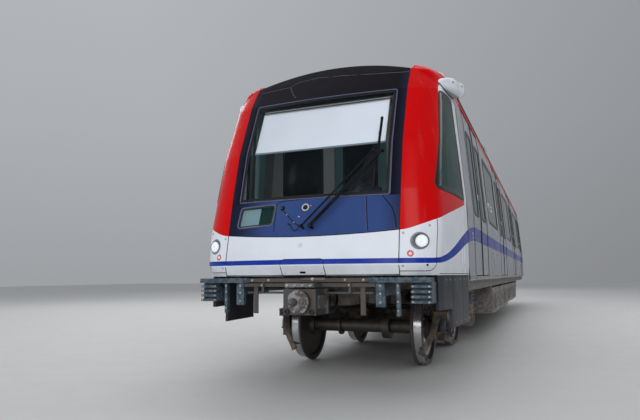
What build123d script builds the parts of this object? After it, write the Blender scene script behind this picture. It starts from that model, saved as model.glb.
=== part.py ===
from build123d import *
import math
import os

os.makedirs("parts", exist_ok=True)

# Leading car of a metro train, millimetres. The numbers below give y as the station s,
# measured from the nose tip rearwards; at() shifts it so that y = 0 is mid length.
# z = 0 is the lowest point of the wheel flanges, x is across, the nose faces -y.
S_NOSE = -60.0          # coupler face, foremost point
S_REAR = 17300.0        # rear drawbar end, rearmost point
S_MID = (S_NOSE + S_REAR) / 2

# body shell
S_JOINT = 1550.0        # cab shell meets saloon shell
S_END = 16900.0         # rear face of the body
WALL = 60.0
FLOOR_Z = (1000.0, 1100.0)
EAVE_Z = 3270.0
CROWN_Z = 3620.0
#        outer half width x, height z, from the sole bar up to the eave
BODY_SIDE = [(1355.0, 1000.0), (1355.0, 1800.0), (1268.0, 2950.0), (1237.0, 3140.0), (1212.0, EAVE_Z)]
#        roof shoulder: start, middle and end of its arc, outside and inside face
SHOULDER = [(1212.0, EAVE_Z), (1163.0, 3374.0), (1069.0, 3440.0)]
SHOULDER_IN = [(1152.0, EAVE_Z), (1118.0, 3331.0), (1050.0, 3382.0)]
ROOF_INNER_CROWN_Z = 3560.0

# doors and side windows
DOOR_START = [2170.0, 6320.0, 10470.0, 14620.0]
DOOR_WIDTH, DOOR_Z = 1620.0, (1050.0, 3140.0)
LEAF_GAP, LEAF_T = 5.0, 42.0
DOOR_PANE = dict(from_edge=123.0, width=469.0, z0=1820.0, z1=2890.0, r=60.0)
WINDOW_S = [(4210.0, 5890.0), (8360.0, 10040.0), (12510.0, 14190.0)]
WINDOW_Z, WINDOW_R = (1880.0, 2900.0), 90.0
PANE_T = 9.0

# cab front, plan sections: height, front centre y, mask edge, corner arc middle and end, side start, half width at the joint
NOSE_PLAN = [
    # z,     y_mid,   mask edge x, y,  corner middle x, y, corner end x, y,  side start x, y,  x_joint
    (1065.0,  84.0,  (898.0, 182.0),  (1056.0, 234.0),  (1168.0, 330.0),  (1218.0, 402.0),  1345.0),
    (1166.0,  16.0,  (900.0, 148.0),  (1072.0, 199.0),  (1203.0, 303.0),  (1242.0, 380.0),  1355.0),
    (1487.0, 112.0,  (906.0, 209.0),  (1087.0, 258.0),  (1228.0, 365.0),  (1264.0, 440.0),  1355.0),
    (1880.0, 230.0,  (908.0, 290.0),  (1078.0, 346.0),  (1206.0, 452.0),  (1254.0, 540.0),  1349.0),
    (2380.0, 360.0,  (910.0, 420.0),  (1070.0, 478.0),  (1192.0, 584.0),  (1242.0, 676.0),  1311.0),
    (2990.0, 625.0,  (912.0, 685.0),  (1062.0, 742.0),  (1178.0, 848.0),  (1222.0, 940.0),  1262.0),
    (3270.0, 830.0,  (914.0, 874.0),  (1052.0, 930.0),  (1158.0, 1036.0), (1188.0, 1110.0), 1212.0),
    (3700.0, 1140.0, (916.0, 1184.0), (1050.0, 1232.0), (1150.0, 1326.0), (1170.0, 1370.0), 1192.0),
]
# cab roof arches: y and how far the body's roof section is lowered there
CAB_ARCH = [(-200.0, 580.0), (S_JOINT, 0.0)]
SHELL_T, GLASS_T = 40.0, 14.0
MASK_X, MASK_Z = 910.0, 1487.0
MASK_DIP = 43.0         # how far the lower edge of the mask dips towards the middle
SCREEN_X, SCREEN_Z = 810.0, (1829.0, 2982.0)
CAB_ROOF_Z = 3060.0
CAB_SIDE_WINDOW = [(876.0, 2970.0), (1288.0, 2988.0), (1360.0, 1873.0), (449.0, 1888.0)]
EQUIPMENT_WINDOW = [(-800.0, 1559.0), (-383.0, 1578.0), (-361.0, 1780.0), (-773.0, 1766.0)]
HEADLIGHT = (1089.0, 1378.0, 66.0)      # x, z, radius
TAIL_LIGHT = (1009.0, 1262.0, 22.0)
HATCH_X, HATCH_Z, HATCH_T, HATCH_R = 222.0, (1068.0, 1222.0), 20.0, 38.0

# running gear
BOGIE_S = [2950.0, 14150.0]
AXLE_OFFSET = 1000.0
AXLE_Z, TREAD_R, FLANGE_R = 450.0, 420.0, 450.0


def at(x, s, z):
    """Point at station s."""
    return (x, s - S_MID, z)


def box(x0, x1, y0, y1, z0, z1):
    return Solid.make_box(x1 - x0, y1 - y0, z1 - z0).moved(Location(at(x0, y0, z0)))


def rod(p, q, r):
    d = Vector(*q) - Vector(*p)
    return Solid.make_cylinder(r, d.length, Plane(origin=at(*p), z_dir=d))


def face_of(points, r=0.0):
    f = Face(Wire.make_polygon([Vector(*at(*p)) for p in points]))
    return f.fillet_2d(r, f.vertices()) if r else f


def side_prism(yz, x0, x1, r=0.0):
    return Solid.extrude(face_of([(x0, y, z) for y, z in yz], r), Vector(x1 - x0, 0, 0))


def front_prism(xz, y0, y1, r=0.0):
    return Solid.extrude(face_of([(x, y0, z) for x, z in xz], r), Vector(0, y1 - y0, 0))


def plan_prism(xy, z0, z1):
    return Solid.extrude(face_of([(x, y, z0) for x, y in xy]), Vector(0, 0, z1 - z0))


def solids_of(shape):
    if isinstance(shape, (list, tuple)):
        return [s for item in shape for s in solids_of(item)]
    return list(shape.solids())


def mirror_x(shape):
    return [s.mirror(Plane.YZ) for s in solids_of(shape)]


def both_sides(shape):
    return solids_of(shape) + mirror_x(shape)


def save(name, shape):
    found = solids_of(shape)
    export_step(found[0] if len(found) == 1 else Compound(children=found), "parts/" + name + ".step")


def cut(shape, *tools):
    out = solids_of(shape)
    for tool in tools:
        for t in solids_of(tool):
            out = [s for piece in out for s in (piece - t).solids()]
    return out


def keep(shape, tool):
    return [s for piece in solids_of(shape) for s in (piece & tool).solids()]


def fuse(*shapes):
    every = solids_of(list(shapes))
    out = every[0]
    for s in every[1:]:
        out = out + s
    return solids_of(out)


# wiper linkage
WIPER_Y, WIPER_RAKE = 70.0, 0.31        # plane of the linkage: y = WIPER_Y + rake * (z - 1550)


def on_plane(x, z, out=0.0):
    n = Vector(0, -1, WIPER_RAKE).normalized()
    p = Vector(x, WIPER_Y + WIPER_RAKE * (z - 1550.0), z) + n * out
    return (p.X, p.Y, p.Z)


def flat_bar(x0, z0, x1, z1, width, t0, t1):
    """Bar in the wiper plane between two points, from t0 to t1 out of it."""
    L = math.hypot(x1 - x0, z1 - z0)
    ux, uz = (x1 - x0) / L * width / 2, (z1 - z0) / L * width / 2
    pts = [on_plane(x0 - uz, z0 + ux, t0), on_plane(x1 - uz, z1 + ux, t0), on_plane(x1 + uz, z1 - ux, t0), on_plane(x0 + uz, z0 - ux, t0)]
    n = Vector(0, -1, WIPER_RAKE).normalized() * (t1 - t0)
    return Solid.extrude(face_of(pts), n)


def spindle(p, r, t0, t1):
    return rod(on_plane(*p, t0), on_plane(*p, t1), r)


PIVOT_A, PIVOT_B = (75.0, 1542.0), (-18.0, 1542.0)
TIP_A = (735.0, 2264.0)
TIP_B = (TIP_A[0] + PIVOT_B[0] - PIVOT_A[0], TIP_A[1])


# ---------------------------------------------------------------- body section
def band(inset0, inset1, y0, y1, z0=1000.0, z1=EAVE_Z):
    """Right-hand strip of the side profile between two insets, from y0 to y1."""
    outer = [(x - inset0, z) for x, z in BODY_SIDE]
    inner = [(x - inset1, z) for x, z in BODY_SIDE]
    strip = front_prism(outer + inner[::-1], y0, y1)
    if z0 > 1000.0 or z1 < EAVE_Z:
        strip = (strip & box(900, 1500, y0 - 1, y1 + 1, z0, z1)).solids()[0]
    return strip


def roof_edges(y, shoulder, crown_z, drop=0.0):
    """Edges of a roof section across the car: shoulder arc, crown arc, shoulder arc."""
    right = [at(x, y, z - drop) for x, z in shoulder]
    left = [(-x, ya, z) for x, ya, z in right]
    return [Edge.make_three_point_arc(*right), Edge.make_three_point_arc(right[2], at(0, y, crown_z - drop), left[2]),
            Edge.make_three_point_arc(*left[::-1])]


def section_wire(y, shoulder, crown_z, drop, foot_x, foot_z):
    """Roof section closed by leaning sides down to a base line at foot_z."""
    (sx, sz) = shoulder[0]
    return Wire(roof_edges(y, shoulder, crown_z, drop) + [
        Edge.make_line(at(sx, y, sz - drop), at(foot_x, y, foot_z)),
        Edge.make_line(at(foot_x, y, foot_z), at(-foot_x, y, foot_z)),
        Edge.make_line(at(-foot_x, y, foot_z), at(-sx, y, sz - drop))])


def x_inner(z):
    """Inner face of the side wall at height z."""
    for (xa, za), (xb, zb) in zip(BODY_SIDE, BODY_SIDE[1:]):
        if za <= z <= zb:
            return xa + (xb - xa) * (z - za) / (zb - za) - WALL
    return BODY_SIDE[0][0] - WALL


door_cuts = [box(900, 1500, s, s + DOOR_WIDTH, *DOOR_Z) for s in DOOR_START]
window_prisms = [side_prism([(a, WINDOW_Z[0]), (b, WINDOW_Z[0]), (b, WINDOW_Z[1]), (a, WINDOW_Z[1])], 1100, 1500, WINDOW_R)
                 for a, b in WINDOW_S]
wall = cut(band(0, WALL, S_JOINT, S_END), door_cuts, window_prisms)
save("right_side_wall", wall)
save("left_side_wall", mirror_x(wall))

panes = [keep(band(4, 4 + PANE_T, a - 10, b + 10), p) for p, (a, b) in zip(window_prisms, WINDOW_S)]
save("saloon_windows", both_sides(panes))

leaves, leaf_panes = [], []
for start in DOOR_START:
    for lead in (0, 1):
        a = start + (LEAF_GAP if lead == 0 else DOOR_WIDTH / 2 + LEAF_GAP / 2)
        b = start + (DOOR_WIDTH / 2 - LEAF_GAP / 2 if lead == 0 else DOOR_WIDTH - LEAF_GAP)
        w0 = a + DOOR_PANE["from_edge"] if lead == 0 else b - DOOR_PANE["from_edge"] - DOOR_PANE["width"]
        w1 = w0 + DOOR_PANE["width"]
        z0, z1 = DOOR_PANE["z0"], DOOR_PANE["z1"]
        hole = side_prism([(w0, z0), (w1, z0), (w1, z1), (w0, z1)], 1100, 1500, DOOR_PANE["r"])
        leaf = band(2, 2 + LEAF_T, a, b, *DOOR_Z)
        leaves += cut(leaf, hole)
        leaf_panes += keep(band(4, 4 + PANE_T, w0 - 10, w1 + 10), hole)
save("door_leaves", both_sides(leaves))
save("door_panes", both_sides(leaf_panes))

roof_ring = Face(Wire(roof_edges(S_JOINT, SHOULDER, CROWN_Z) + [
    Edge.make_line(at(SHOULDER[0][0], S_JOINT, EAVE_Z), at(SHOULDER_IN[0][0], S_JOINT, EAVE_Z)),
    Edge.make_line(at(-SHOULDER[0][0], S_JOINT, EAVE_Z), at(-SHOULDER_IN[0][0], S_JOINT, EAVE_Z))]
    + roof_edges(S_JOINT, SHOULDER_IN, ROOF_INNER_CROWN_Z)))
save("roof_shell", Solid.extrude(roof_ring, Vector(0, S_END - S_JOINT, 0)))

# flat section of the space inside the walls, used for the end wall
half = [(x - WALL, z) for x, z in BODY_SIDE]
end_low = front_prism(half[1:] + [(-x, z) for x, z in half[1:][::-1]] + [(-half[0][0], FLOOR_Z[1]), (half[0][0], FLOOR_Z[1])],
                      S_END - WALL, S_END)
end_top = Solid.extrude(Face(Wire(roof_edges(S_END - WALL, SHOULDER_IN, ROOF_INNER_CROWN_Z) + [
    Edge.make_line(at(SHOULDER_IN[0][0], S_END - WALL, EAVE_Z), at(-SHOULDER_IN[0][0], S_END - WALL, EAVE_Z))])), Vector(0, WALL, 0))
GANGWAY_X, GANGWAY_Z = 620.0, (1100.0, 3080.0)
save("rear_end_wall", cut(fuse(end_low, end_top), box(-GANGWAY_X, GANGWAY_X, S_END - 200, S_END + 200, GANGWAY_Z[0] - 1, GANGWAY_Z[1])))

# gangway half: a frame against the end wall, folds, a frame at the coupling plane
fold = []
BELLOWS = [(16900.0, 16925.0, 0.0), (16925.0, 16965.0, 70.0), (16965.0, 16990.0, 0.0), (16990.0, 17030.0, 70.0), (17030.0, 17055.0, 0.0), (17055.0, 17095.0, 70.0), (17095.0, 17130.0, 0.0)]
for a, b, grow in BELLOWS:
    o = box(-GANGWAY_X - 60 - grow, GANGWAY_X + 60 + grow, a, b, 1000 - grow * 0.6, GANGWAY_Z[1] + 60 + grow)
    fold += cut(o, box(-GANGWAY_X, GANGWAY_X, a - 5, b + 5, GANGWAY_Z[0], GANGWAY_Z[1]))
save("gangway_bellows", fuse(fold))

# chassis: floor deck, sole bars with jacking pads, bolsters and centre sills, centre pins
save("floor_deck", plan_prism([(-1295, S_JOINT), (-1160, 540), (-820, 330), (820, 330), (1160, 540), (1295, S_JOINT), (1295, S_END), (-1295, S_END)], *FLOOR_Z))
SOLE_BAR = dict(x=(1160.0, 1290.0), s=(1620.0, 16880.0), z=(880.0, 1000.0))
JACK_PAD_S, JACK_PAD_Z = [4750.0, 12500.0], 850.0
bar = [box(*SOLE_BAR["x"], *SOLE_BAR["s"], *SOLE_BAR["z"])]
bar += [box(1150, 1290, s - 100, s + 100, JACK_PAD_Z, 900) for s in JACK_PAD_S]
save("sole_bars", both_sides(fuse(bar)))
BOLSTER = dict(x=1160.0, half=260.0, z=(875.0, 1000.0))
CENTRE_SILL = [(720.0, 1400.0), (4600.0, 12500.0), (15700.0, 16800.0)]
beams = [box(-BOLSTER["x"], BOLSTER["x"], s - BOLSTER["half"], s + BOLSTER["half"], *BOLSTER["z"]) for s in BOGIE_S]
beams += [box(-240, 240, a, b, 760, 1000) for a, b in CENTRE_SILL]
save("chassis_beams", beams)
save("centre_pins", [rod((0, s, 560), (0, s, 875), 80) for s in BOGIE_S])

# ---------------------------------------------------------------- cab shell
def arc_through(p, q, bulge, z):
    """Arc from p to q in plan, its middle pushed out by bulge to the right of the run."""
    L = math.hypot(q[0] - p[0], q[1] - p[1])
    m = ((p[0] + q[0]) / 2 + bulge * (q[1] - p[1]) / L, (p[1] + q[1]) / 2 - bulge * (q[0] - p[0]) / L)
    return (m[0], m[1], z)


def nose_block(t):
    """Closed envelope of the cab, its skin moved in by t."""
    wires = []
    y_back = S_JOINT if t == 0 else S_JOINT + 10
    for z, ym, edge, mid, end, side, xj in NOSE_PLAN:
        zc = z - 10.0 if (t > 0 and z == NOSE_PLAN[0][0]) else z
        ti = t * (1.0 + 0.25 * (z - 1050.0) / 2650.0)
        e = (edge[0] - 0.12 * t, edge[1] + ti - S_MID)
        m = (mid[0] - 0.45 * t, mid[1] + 0.95 * ti - S_MID)
        f = (end[0] - 0.80 * t, end[1] + 0.70 * ti - S_MID)
        s = (side[0] - t, side[1] + 0.35 * ti - S_MID)
        j = (xj - t, y_back - S_MID)
        right = [((e, m, f), None), ((f, s), 4.0), ((s, j), max(2.0, 0.25 * (j[0] - s[0])))]
        edges = [Edge.make_three_point_arc((-e[0], e[1], zc), (0, ym + ti - S_MID, zc), (e[0], e[1], zc))]
        for sign in (1, -1):
            edges.append(Edge.make_three_point_arc((sign * e[0], e[1], zc), (sign * m[0], m[1], zc), (sign * f[0], f[1], zc)))
            for (p, q), bulge in ((r[0], r[1]) for r in right[1:]):
                c = arc_through(p, q, bulge, zc)
                edges.append(Edge.make_three_point_arc((sign * p[0], p[1], zc), (sign * c[0], c[1], zc), (sign * q[0], q[1], zc)))
        edges.append(Edge.make_line((j[0], j[1], zc), (-j[0], j[1], zc)))
        order = [edges[0], edges[1], edges[2], edges[3], edges[7], edges[6], edges[5], edges[4]]
        wires.append(Wire(order))
    block = Solid.make_loft(wires, ruled=True)
    inner = [(SHOULDER[0][0] - t, SHOULDER[0][1]), (SHOULDER[1][0] - 0.75 * t, SHOULDER[1][1] - 0.71 * t), (SHOULDER[2][0] - 0.35 * t, SHOULDER[2][1] - 0.95 * t)]
    arches = []
    for y, drop in CAB_ARCH:
        yy = y if (t == 0 or y < 0) else y + 10
        arches.append(section_wire(yy, inner, CROWN_Z - t, drop, 1700.0 - t, 850.0 - t))
    roof = Solid.make_loft(arches, ruled=True)
    return (block & roof).solids()[0]


envelope = nose_block(0)
inside = nose_block(SHELL_T)
glass_inside = nose_block(GLASS_T)
hatch_inside = nose_block(HATCH_T)
shell = cut(envelope, inside)
glass_skin = cut(envelope, glass_inside)

# regions of the shell
middle = box(-MASK_X, MASK_X, -500, 1240, 900, 3900)
# the roof edge: a plane at 45 degrees behind the top of the mask
roof_wedge = side_prism([(-400, 3280 + 1220), (820, 3280), (1240, 2860), (1700, 2860), (1700, 4500)], -MASK_X, MASK_X)
roof_region = [box(-1500, -MASK_X, -500, 1700, CAB_ROOF_Z, 4500), box(MASK_X, 1500, -500, 1700, CAB_ROOF_Z, 4500), roof_wedge]

front = keep(shell, middle)
mask_all = cut(front, roof_wedge)
mask_edge = [at(x, -500, z) for x, z in ((-1500, 900), (-1500, MASK_Z), (-MASK_X, MASK_Z), (0, MASK_Z - MASK_DIP), (MASK_X, MASK_Z), (1500, MASK_Z), (1500, 900))]
below_mask = Solid.extrude(Face(Wire([Edge.make_line(mask_edge[0], mask_edge[1]), Edge.make_line(mask_edge[1], mask_edge[2]), Edge.make_three_point_arc(*mask_edge[2:5]),
                                      Edge.make_line(mask_edge[4], mask_edge[5]), Edge.make_line(mask_edge[5], mask_edge[6]), Edge.make_line(mask_edge[6], mask_edge[0])])), Vector(0, 2200, 0))
screen_box = box(-SCREEN_X, SCREEN_X, -500, 1240, *SCREEN_Z)
equipment_prism = front_prism(EQUIPMENT_WINDOW, -500, 700, 40)
mask = [s for s in cut(mask_all, below_mask, screen_box, equipment_prism)]
mask = cut([max(mask, key=lambda s: s.volume)], spindle(PIVOT_A, 13, -200, 50), spindle(PIVOT_B, 11, -200, 50))


def hatch_prism(grow):
    x = HATCH_X + grow
    return front_prism([(-x, 900), (-x, HATCH_Z[1] + grow), (x, HATCH_Z[1] + grow), (x, 900)], -500, 700, HATCH_R + grow)


bumper = cut(keep(keep(front, box(-MASK_X, MASK_X, -500, 1240, 1000, MASK_Z)), below_mask), hatch_prism(5))
bumper = [max(bumper, key=lambda s: s.volume)]
save("windscreen", keep(keep(glass_skin, middle), screen_box))
equipment_pane = keep(keep(glass_skin, middle), equipment_prism)
save("front_mask", mask)
save("front_bumper", bumper)
hatch = keep(keep(keep(cut(envelope, hatch_inside), middle), box(-HATCH_X, HATCH_X, -500, 700, *HATCH_Z)), hatch_prism(0))
save("coupler_hatch", hatch)

side_part = keep(shell, box(MASK_X, 1500, -500, 1700, 1000, CAB_ROOF_Z))
cab_window_prism = side_prism(CAB_SIDE_WINDOW, 1000, 1500, 45)
panel_prism = front_prism([(MASK_X - 5, 1118), (1140, 1118), (1188, 1165), (1200, 1576), (MASK_X - 5, 1487)], -500, 420)
light_hole = rod((HEADLIGHT[0], 0, HEADLIGHT[1]), (HEADLIGHT[0], 420, HEADLIGHT[1]), HEADLIGHT[2])
tail_hole = rod((TAIL_LIGHT[0], 0, TAIL_LIGHT[1]), (TAIL_LIGHT[0], 420, TAIL_LIGHT[1]), TAIL_LIGHT[2])
cab_side = cut(side_part, cab_window_prism, panel_prism)
cab_side = [max(cab_side, key=lambda s: s.volume)]
save("right_cab_side", cab_side)
save("left_cab_side", mirror_x(cab_side))
panel = cut(keep(side_part, panel_prism), light_hole, tail_hole)
panel = [max(panel, key=lambda s: s.volume)]
save("headlight_panels", both_sides(panel))
lamp_skin = keep(cut(glass_inside, box(-1500, 1500, 420, 1700, 900, 4000)), box(MASK_X, 1500, -500, 420, 1050, 1600))
save("headlights", both_sides(keep(lamp_skin, rod((HEADLIGHT[0], 0, HEADLIGHT[1]), (HEADLIGHT[0], 385, HEADLIGHT[1]), HEADLIGHT[2]))))
save("tail_lights", both_sides(keep(lamp_skin, rod((TAIL_LIGHT[0], 0, TAIL_LIGHT[1]), (TAIL_LIGHT[0], 300, TAIL_LIGHT[1]), TAIL_LIGHT[2]))))
save("cab_windows", both_sides(keep(keep(glass_skin, box(MASK_X, 1500, -500, 1700, 1050, CAB_ROOF_Z)), cab_window_prism)) + equipment_pane)
cab_roof = keep(shell, roof_region[0]) + keep(shell, roof_region[1]) + keep(shell, roof_wedge)
cab_roof = fuse(cab_roof)
save("cab_roof", [max(cab_roof, key=lambda s: s.volume)])

# camera pods on the cant rail: s, outermost x, lower and upper z, corner radius
POD_X_IN = 1150.0
POD = [(944.0, 1206.0, 3072.0, 3106.0, 14.0), (990.0, 1248.0, 3048.0, 3142.0, 28.0), (1080.0, 1298.0, 3034.0, 3176.0, 40.0),
       (1230.0, 1342.0, 3038.0, 3204.0, 48.0), (1400.0, 1376.0, 3054.0, 3222.0, 52.0), (1478.0, 1388.0, 3064.0, 3224.0, 54.0), (1502.0, 1372.0, 3080.0, 3210.0, 52.0)]
pod_rings = [face_of([(POD_X_IN, s, z0), (x, s, z0), (x, s, z1), (POD_X_IN, s, z1)], r).outer_wire() for s, x, z0, z1, r in POD]
pod = cut(Solid.make_loft(pod_rings, ruled=False), envelope)
pod = [max(pod, key=lambda s: s.volume)]
save("camera_pods", both_sides(pod))

# dark skirt under the cab sides
skirt = plan_prism([(1212, 402), (1243, 520), (1298, 900), (1344, 1480), (1312, 1480), (1266, 905), (1212, 530), (1182, 412)], 560, NOSE_PLAN[0][0])
save("cab_skirt", both_sides(cut(skirt, box(1000, 1500, 300, 760, 500, 740))))

# anticlimber corners: cap plate, ribbed block, posts and the beam behind them
CAP = dict(x=(630.0, 1195.0), s=(126.0, 325.0), z=(1002.0, 1046.0))
RIB_PITCH, RIB_T = 46.0, 24.0
corner = [box(*CAP["x"], *CAP["s"], *CAP["z"]), box(1012, 1195, 200, 400, 815, 1002)]
corner += [box(1012, 1195, 150, 205, 815 + k * RIB_PITCH, 815 + RIB_T + k * RIB_PITCH) for k in range(4)]
corner += [box(881, 911, 150, 200, 700, 1002), box(690, 772, 150, 200, 780, 1002), box(700, 762, 200, 715, 880, 1000)]
save("anticlimbers", both_sides(fuse(corner)))
#        x half, s0, s1, z0, z1
GUARD_BARS = [(625.0, 128.0, 170.0, 1008.0, 1044.0), (685.0, 150.0, 190.0, 962.0, 996.0)]
save("guard_bars", [box(-x, x, s0, s1, z0, z1) for x, s0, s1, z0, z1 in GUARD_BARS])

# ---------------------------------------------------------------- cab inside
PARTITION_S = (1880.0, 1920.0)
PDOOR_X, PDOOR_Z = 350.0, (1110.0, 3060.0)
ceiling_z = (3200.0, 3230.0)
part_prof = [(x_inner(z), z) for z in (1100.0, 1800.0, 2950.0, 3140.0, 3200.0)]
partition = front_prism(part_prof + [(-x, z) for x, z in part_prof[::-1]], *PARTITION_S)
#        heights where the door's knuckles start; each turns on a pin of the partition
KNUCKLE_Z, KNUCKLE_H, KNUCKLE_AT = [1300.0, 2080.0, 2860.0], 80.0, (353.0, 1930.0)
pdoor = [box(-PDOOR_X, PDOOR_X, PARTITION_S[0], PARTITION_S[1], *PDOOR_Z)]
jamb = []
for z in KNUCKLE_Z:
    kx, ks = KNUCKLE_AT
    pdoor += [rod((kx, ks, z), (kx, ks, z + KNUCKLE_H), 8.0), box(328, 351, PARTITION_S[1] - 5, ks, z, z + KNUCKLE_H)]
    jamb += [box(kx - 4, kx + 22, ks - 4, ks + 8, z - 14, z - 4), rod((kx, ks, z - 6), (kx, ks, z + KNUCKLE_H - 5), 4.0),
             box(kx + 5, kx + 22, PARTITION_S[1] - 20, ks + 8, z - 14, z - 4)]
save("partition_door", cut(fuse(pdoor), [rod((KNUCKLE_AT[0], KNUCKLE_AT[1], z - 10), (KNUCKLE_AT[0], KNUCKLE_AT[1], z + KNUCKLE_H + 10), 4.6) for z in KNUCKLE_Z]))
save("cab_partition", fuse(cut(partition, box(-PDOOR_X - 6, PDOOR_X + 6, 1800, 2000, 1000, PDOOR_Z[1] + 6)), jamb))
desk = side_prism([(420, 1100), (420, 1500), (470, 1760), (700, 1800), (980, 1700), (980, 1650), (760, 1600), (700, 1100)], -900, 900)
save("driver_desk", desk)
seat = fuse(box(-60, 60, 1240, 1360, 1100, 1420), box(-230, 230, 1080, 1520, 1420, 1520), box(-220, 220, 1480, 1570, 1520, 2120))
save("driver_seat", [s.moved(Location((250, 0, 0))) for s in seat])
BLIND = dict(top=(650.0, 2870.0), bottom=(438.0, 2382.0), half=745.0, roller=22.0)
blind = rod((-BLIND["half"], BLIND["top"][0] + 14, BLIND["top"][1] + 14), (BLIND["half"], BLIND["top"][0] + 14, BLIND["top"][1] + 14), BLIND["roller"])
save("sun_blind", fuse(blind, side_prism([BLIND["top"], (BLIND["top"][0] + 6, BLIND["top"][1]), (BLIND["bottom"][0] + 6, BLIND["bottom"][1]), BLIND["bottom"]], -BLIND["half"] + 15, BLIND["half"] - 15)))
ceil = [(x_inner(z), z) for z in ceiling_z]
save("ceiling_panel", front_prism(ceil + [(-x, z) for x, z in ceil[::-1]], S_JOINT + 20, S_END - WALL))

# ---------------------------------------------------------------- saloon inside
bench_prof = [(1295.0, 1480.0), (1295.0, 1800.0), (x_inner(1860.0), 1860.0), (x_inner(1860.0) - 40, 1860.0), (1230.0, 1560.0), (860.0, 1560.0), (840.0, 1540.0), (840.0, 1490.0)]
bench = [front_prism(bench_prof, a - 60, b + 60) for a, b in WINDOW_S]
save("benches", both_sides(bench))
poles = []
for a, b in WINDOW_S:
    for s in (a - 110, b + 110):
        poles.append(rod((860, s, 1100), (860, s, 3200), 17))
save("grab_poles", both_sides(poles))

# ---------------------------------------------------------------- roof gear
body_block = Solid.extrude(Face(section_wire(1500, SHOULDER, CROWN_Z, 0, 1400, 2900)), Vector(0, 15500, 0))
AIRCON_S = [(5300.0, 8000.0), (11300.0, 14000.0)]
aircon = []
for a, b in AIRCON_S:
    aircon += cut(front_prism([(-900, 3400), (900, 3400), (900, 3700), (800, 3800), (-800, 3800), (-900, 3700)], a, b), body_block)
save("air_conditioners", aircon)

# ---------------------------------------------------------------- pantograph
PANTO_PIVOT = (10300.0, 3860.0)         # s, z of the lower arm pivot, between the two air conditioners
LOWER_LEN, LOWER_DEG = 1350.0, 14.0     # leans forward and up at rest
UPPER_LEN, UPPER_DEG = 1330.0, 11.0     # from the knee rearwards and up
knee = (PANTO_PIVOT[0] - LOWER_LEN * math.cos(math.radians(LOWER_DEG)), PANTO_PIVOT[1] + LOWER_LEN * math.sin(math.radians(LOWER_DEG)))
head = (knee[0] + UPPER_LEN * math.cos(math.radians(UPPER_DEG)), knee[1] + UPPER_LEN * math.sin(math.radians(UPPER_DEG)))
base = [box(-450, -390, 8800, 10420, 3760, 3800), box(390, 450, 8800, 10420, 3760, 3800), box(-450, 450, 8800, 8860, 3760, 3800), box(-450, 450, 10240, 10360, 3760, 3800)]
for s in (8900.0, 10330.0):
    for x in (-420.0, 420.0):
        base += cut(rod((x, s, 3520), (x, s, 3765), 45), body_block)
        for k in range(3):
            base.append(rod((x, s, 3610 + k * 45), (x, s, 3625 + k * 45), 70))
for x0, x1 in ((-330, -290), (290, 330)):
    base += cut(box(x0, x1, PANTO_PIVOT[0] - 40, PANTO_PIVOT[0] + 40, 3790, 3900), rod((x0 - 5, *PANTO_PIVOT), (x1 + 5, *PANTO_PIVOT), 16))
save("pantograph_base", fuse(base))
low_arm = fuse(rod((-345, *PANTO_PIVOT), (345, *PANTO_PIVOT), 13), rod((-270, *PANTO_PIVOT), (270, *PANTO_PIVOT), 30),
               rod((0, *PANTO_PIVOT), (0, *knee), 34), rod((-34, *knee), (34, *knee), 46))
low_arm = cut(low_arm, rod((-100, *knee), (100, *knee), 16))
save("pantograph_lower_arm", low_arm)
up_arm = [rod((-76, *knee), (76, *knee), 13), rod((-420, *head), (420, *head), 11), rod((-330, *head), (330, *head), 18)]
for side in (-1, 1):
    up_arm += [rod((side * 42, *knee), (side * 76, *knee), 26), rod((side * 60, *knee), (side * 330, *head), 16)]
save("pantograph_upper_arm", fuse(up_arm))
bow = []
for ds in (-170.0, 170.0):
    bow.append(box(-520, 520, head[0] + ds - 25, head[0] + ds + 25, head[1] + 90, head[1] + 125))
    for side in (-1, 1):
        bow.append(rod((side * 520, head[0] + ds, head[1] + 107), (side * 700, head[0] + ds, head[1] + 60), 14))
        bow.append(rod((side * 700, head[0] + ds, head[1] + 60), (side * 790, head[0] + ds, head[1] - 40), 14))
for x0, x1 in ((-400, -370), (370, 400)):
    bow.append(side_prism([(head[0] - 195, head[1] + 90), (head[0] - 30, head[1] - 30), (head[0] + 30, head[1] - 30), (head[0] + 195, head[1] + 90)], x0, x1))
bow = cut(fuse(bow), rod((-410, *head), (410, *head), 14))
save("pantograph_head", bow)

# ---------------------------------------------------------------- wiper
arm = fuse(flat_bar(*PIVOT_A, *TIP_A, 26, 0, 10), spindle(PIVOT_A, 24, -8, 14), spindle(TIP_A, 17, 0, 10))
arm = fuse(cut(arm, spindle(TIP_A, 7, -20, 30)), cut(spindle(PIVOT_A, 11, -110, -8), inside))
link = fuse(flat_bar(*PIVOT_B, *TIP_B, 16, 0, 10), spindle(PIVOT_B, 18, -8, 14), spindle(TIP_B, 13, 0, 10))
link = fuse(cut(link, spindle(TIP_B, 7, -20, 30)), cut(spindle(PIVOT_B, 9, -110, -8), inside))
save("wiper_arm", arm)
save("wiper_link", link)
BLADE_X = (TIP_A[0] + TIP_B[0]) / 2
blade = fuse(flat_bar(TIP_B[0] - 20, TIP_B[1], TIP_A[0] + 20, TIP_A[1], 30, -14, -5), spindle(TIP_A, 5, -10, 10), spindle(TIP_B, 5, -10, 10),
             flat_bar(BLADE_X - 20, TIP_A[1] - 385, BLADE_X + 20, TIP_A[1] + 375, 22, -30, -14 + 0.5))
save("wiper_blade", blade)

# ---------------------------------------------------------------- couplers
COUPLER_Z = 825.0
save("front_coupler", fuse(box(-70, 70, 290, 640, COUPLER_Z - 60, COUPLER_Z + 60), box(-165, 165, -20, 300, 705, 945),
                           rod((0, S_NOSE, COUPLER_Z), (0, -20, COUPLER_Z), 110), box(-80, 80, 600, 720, 762, 900)))
save("rear_drawbar", cut(fuse(box(-60, 60, 16840, 17220, 800, 920), rod((0, 17220, 800), (0, 17220, 920), 80), box(-240, 240, 16800, 16840, 760, 960)), rod((0, 17220, 700), (0, 17220, 1000), 35)))

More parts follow.
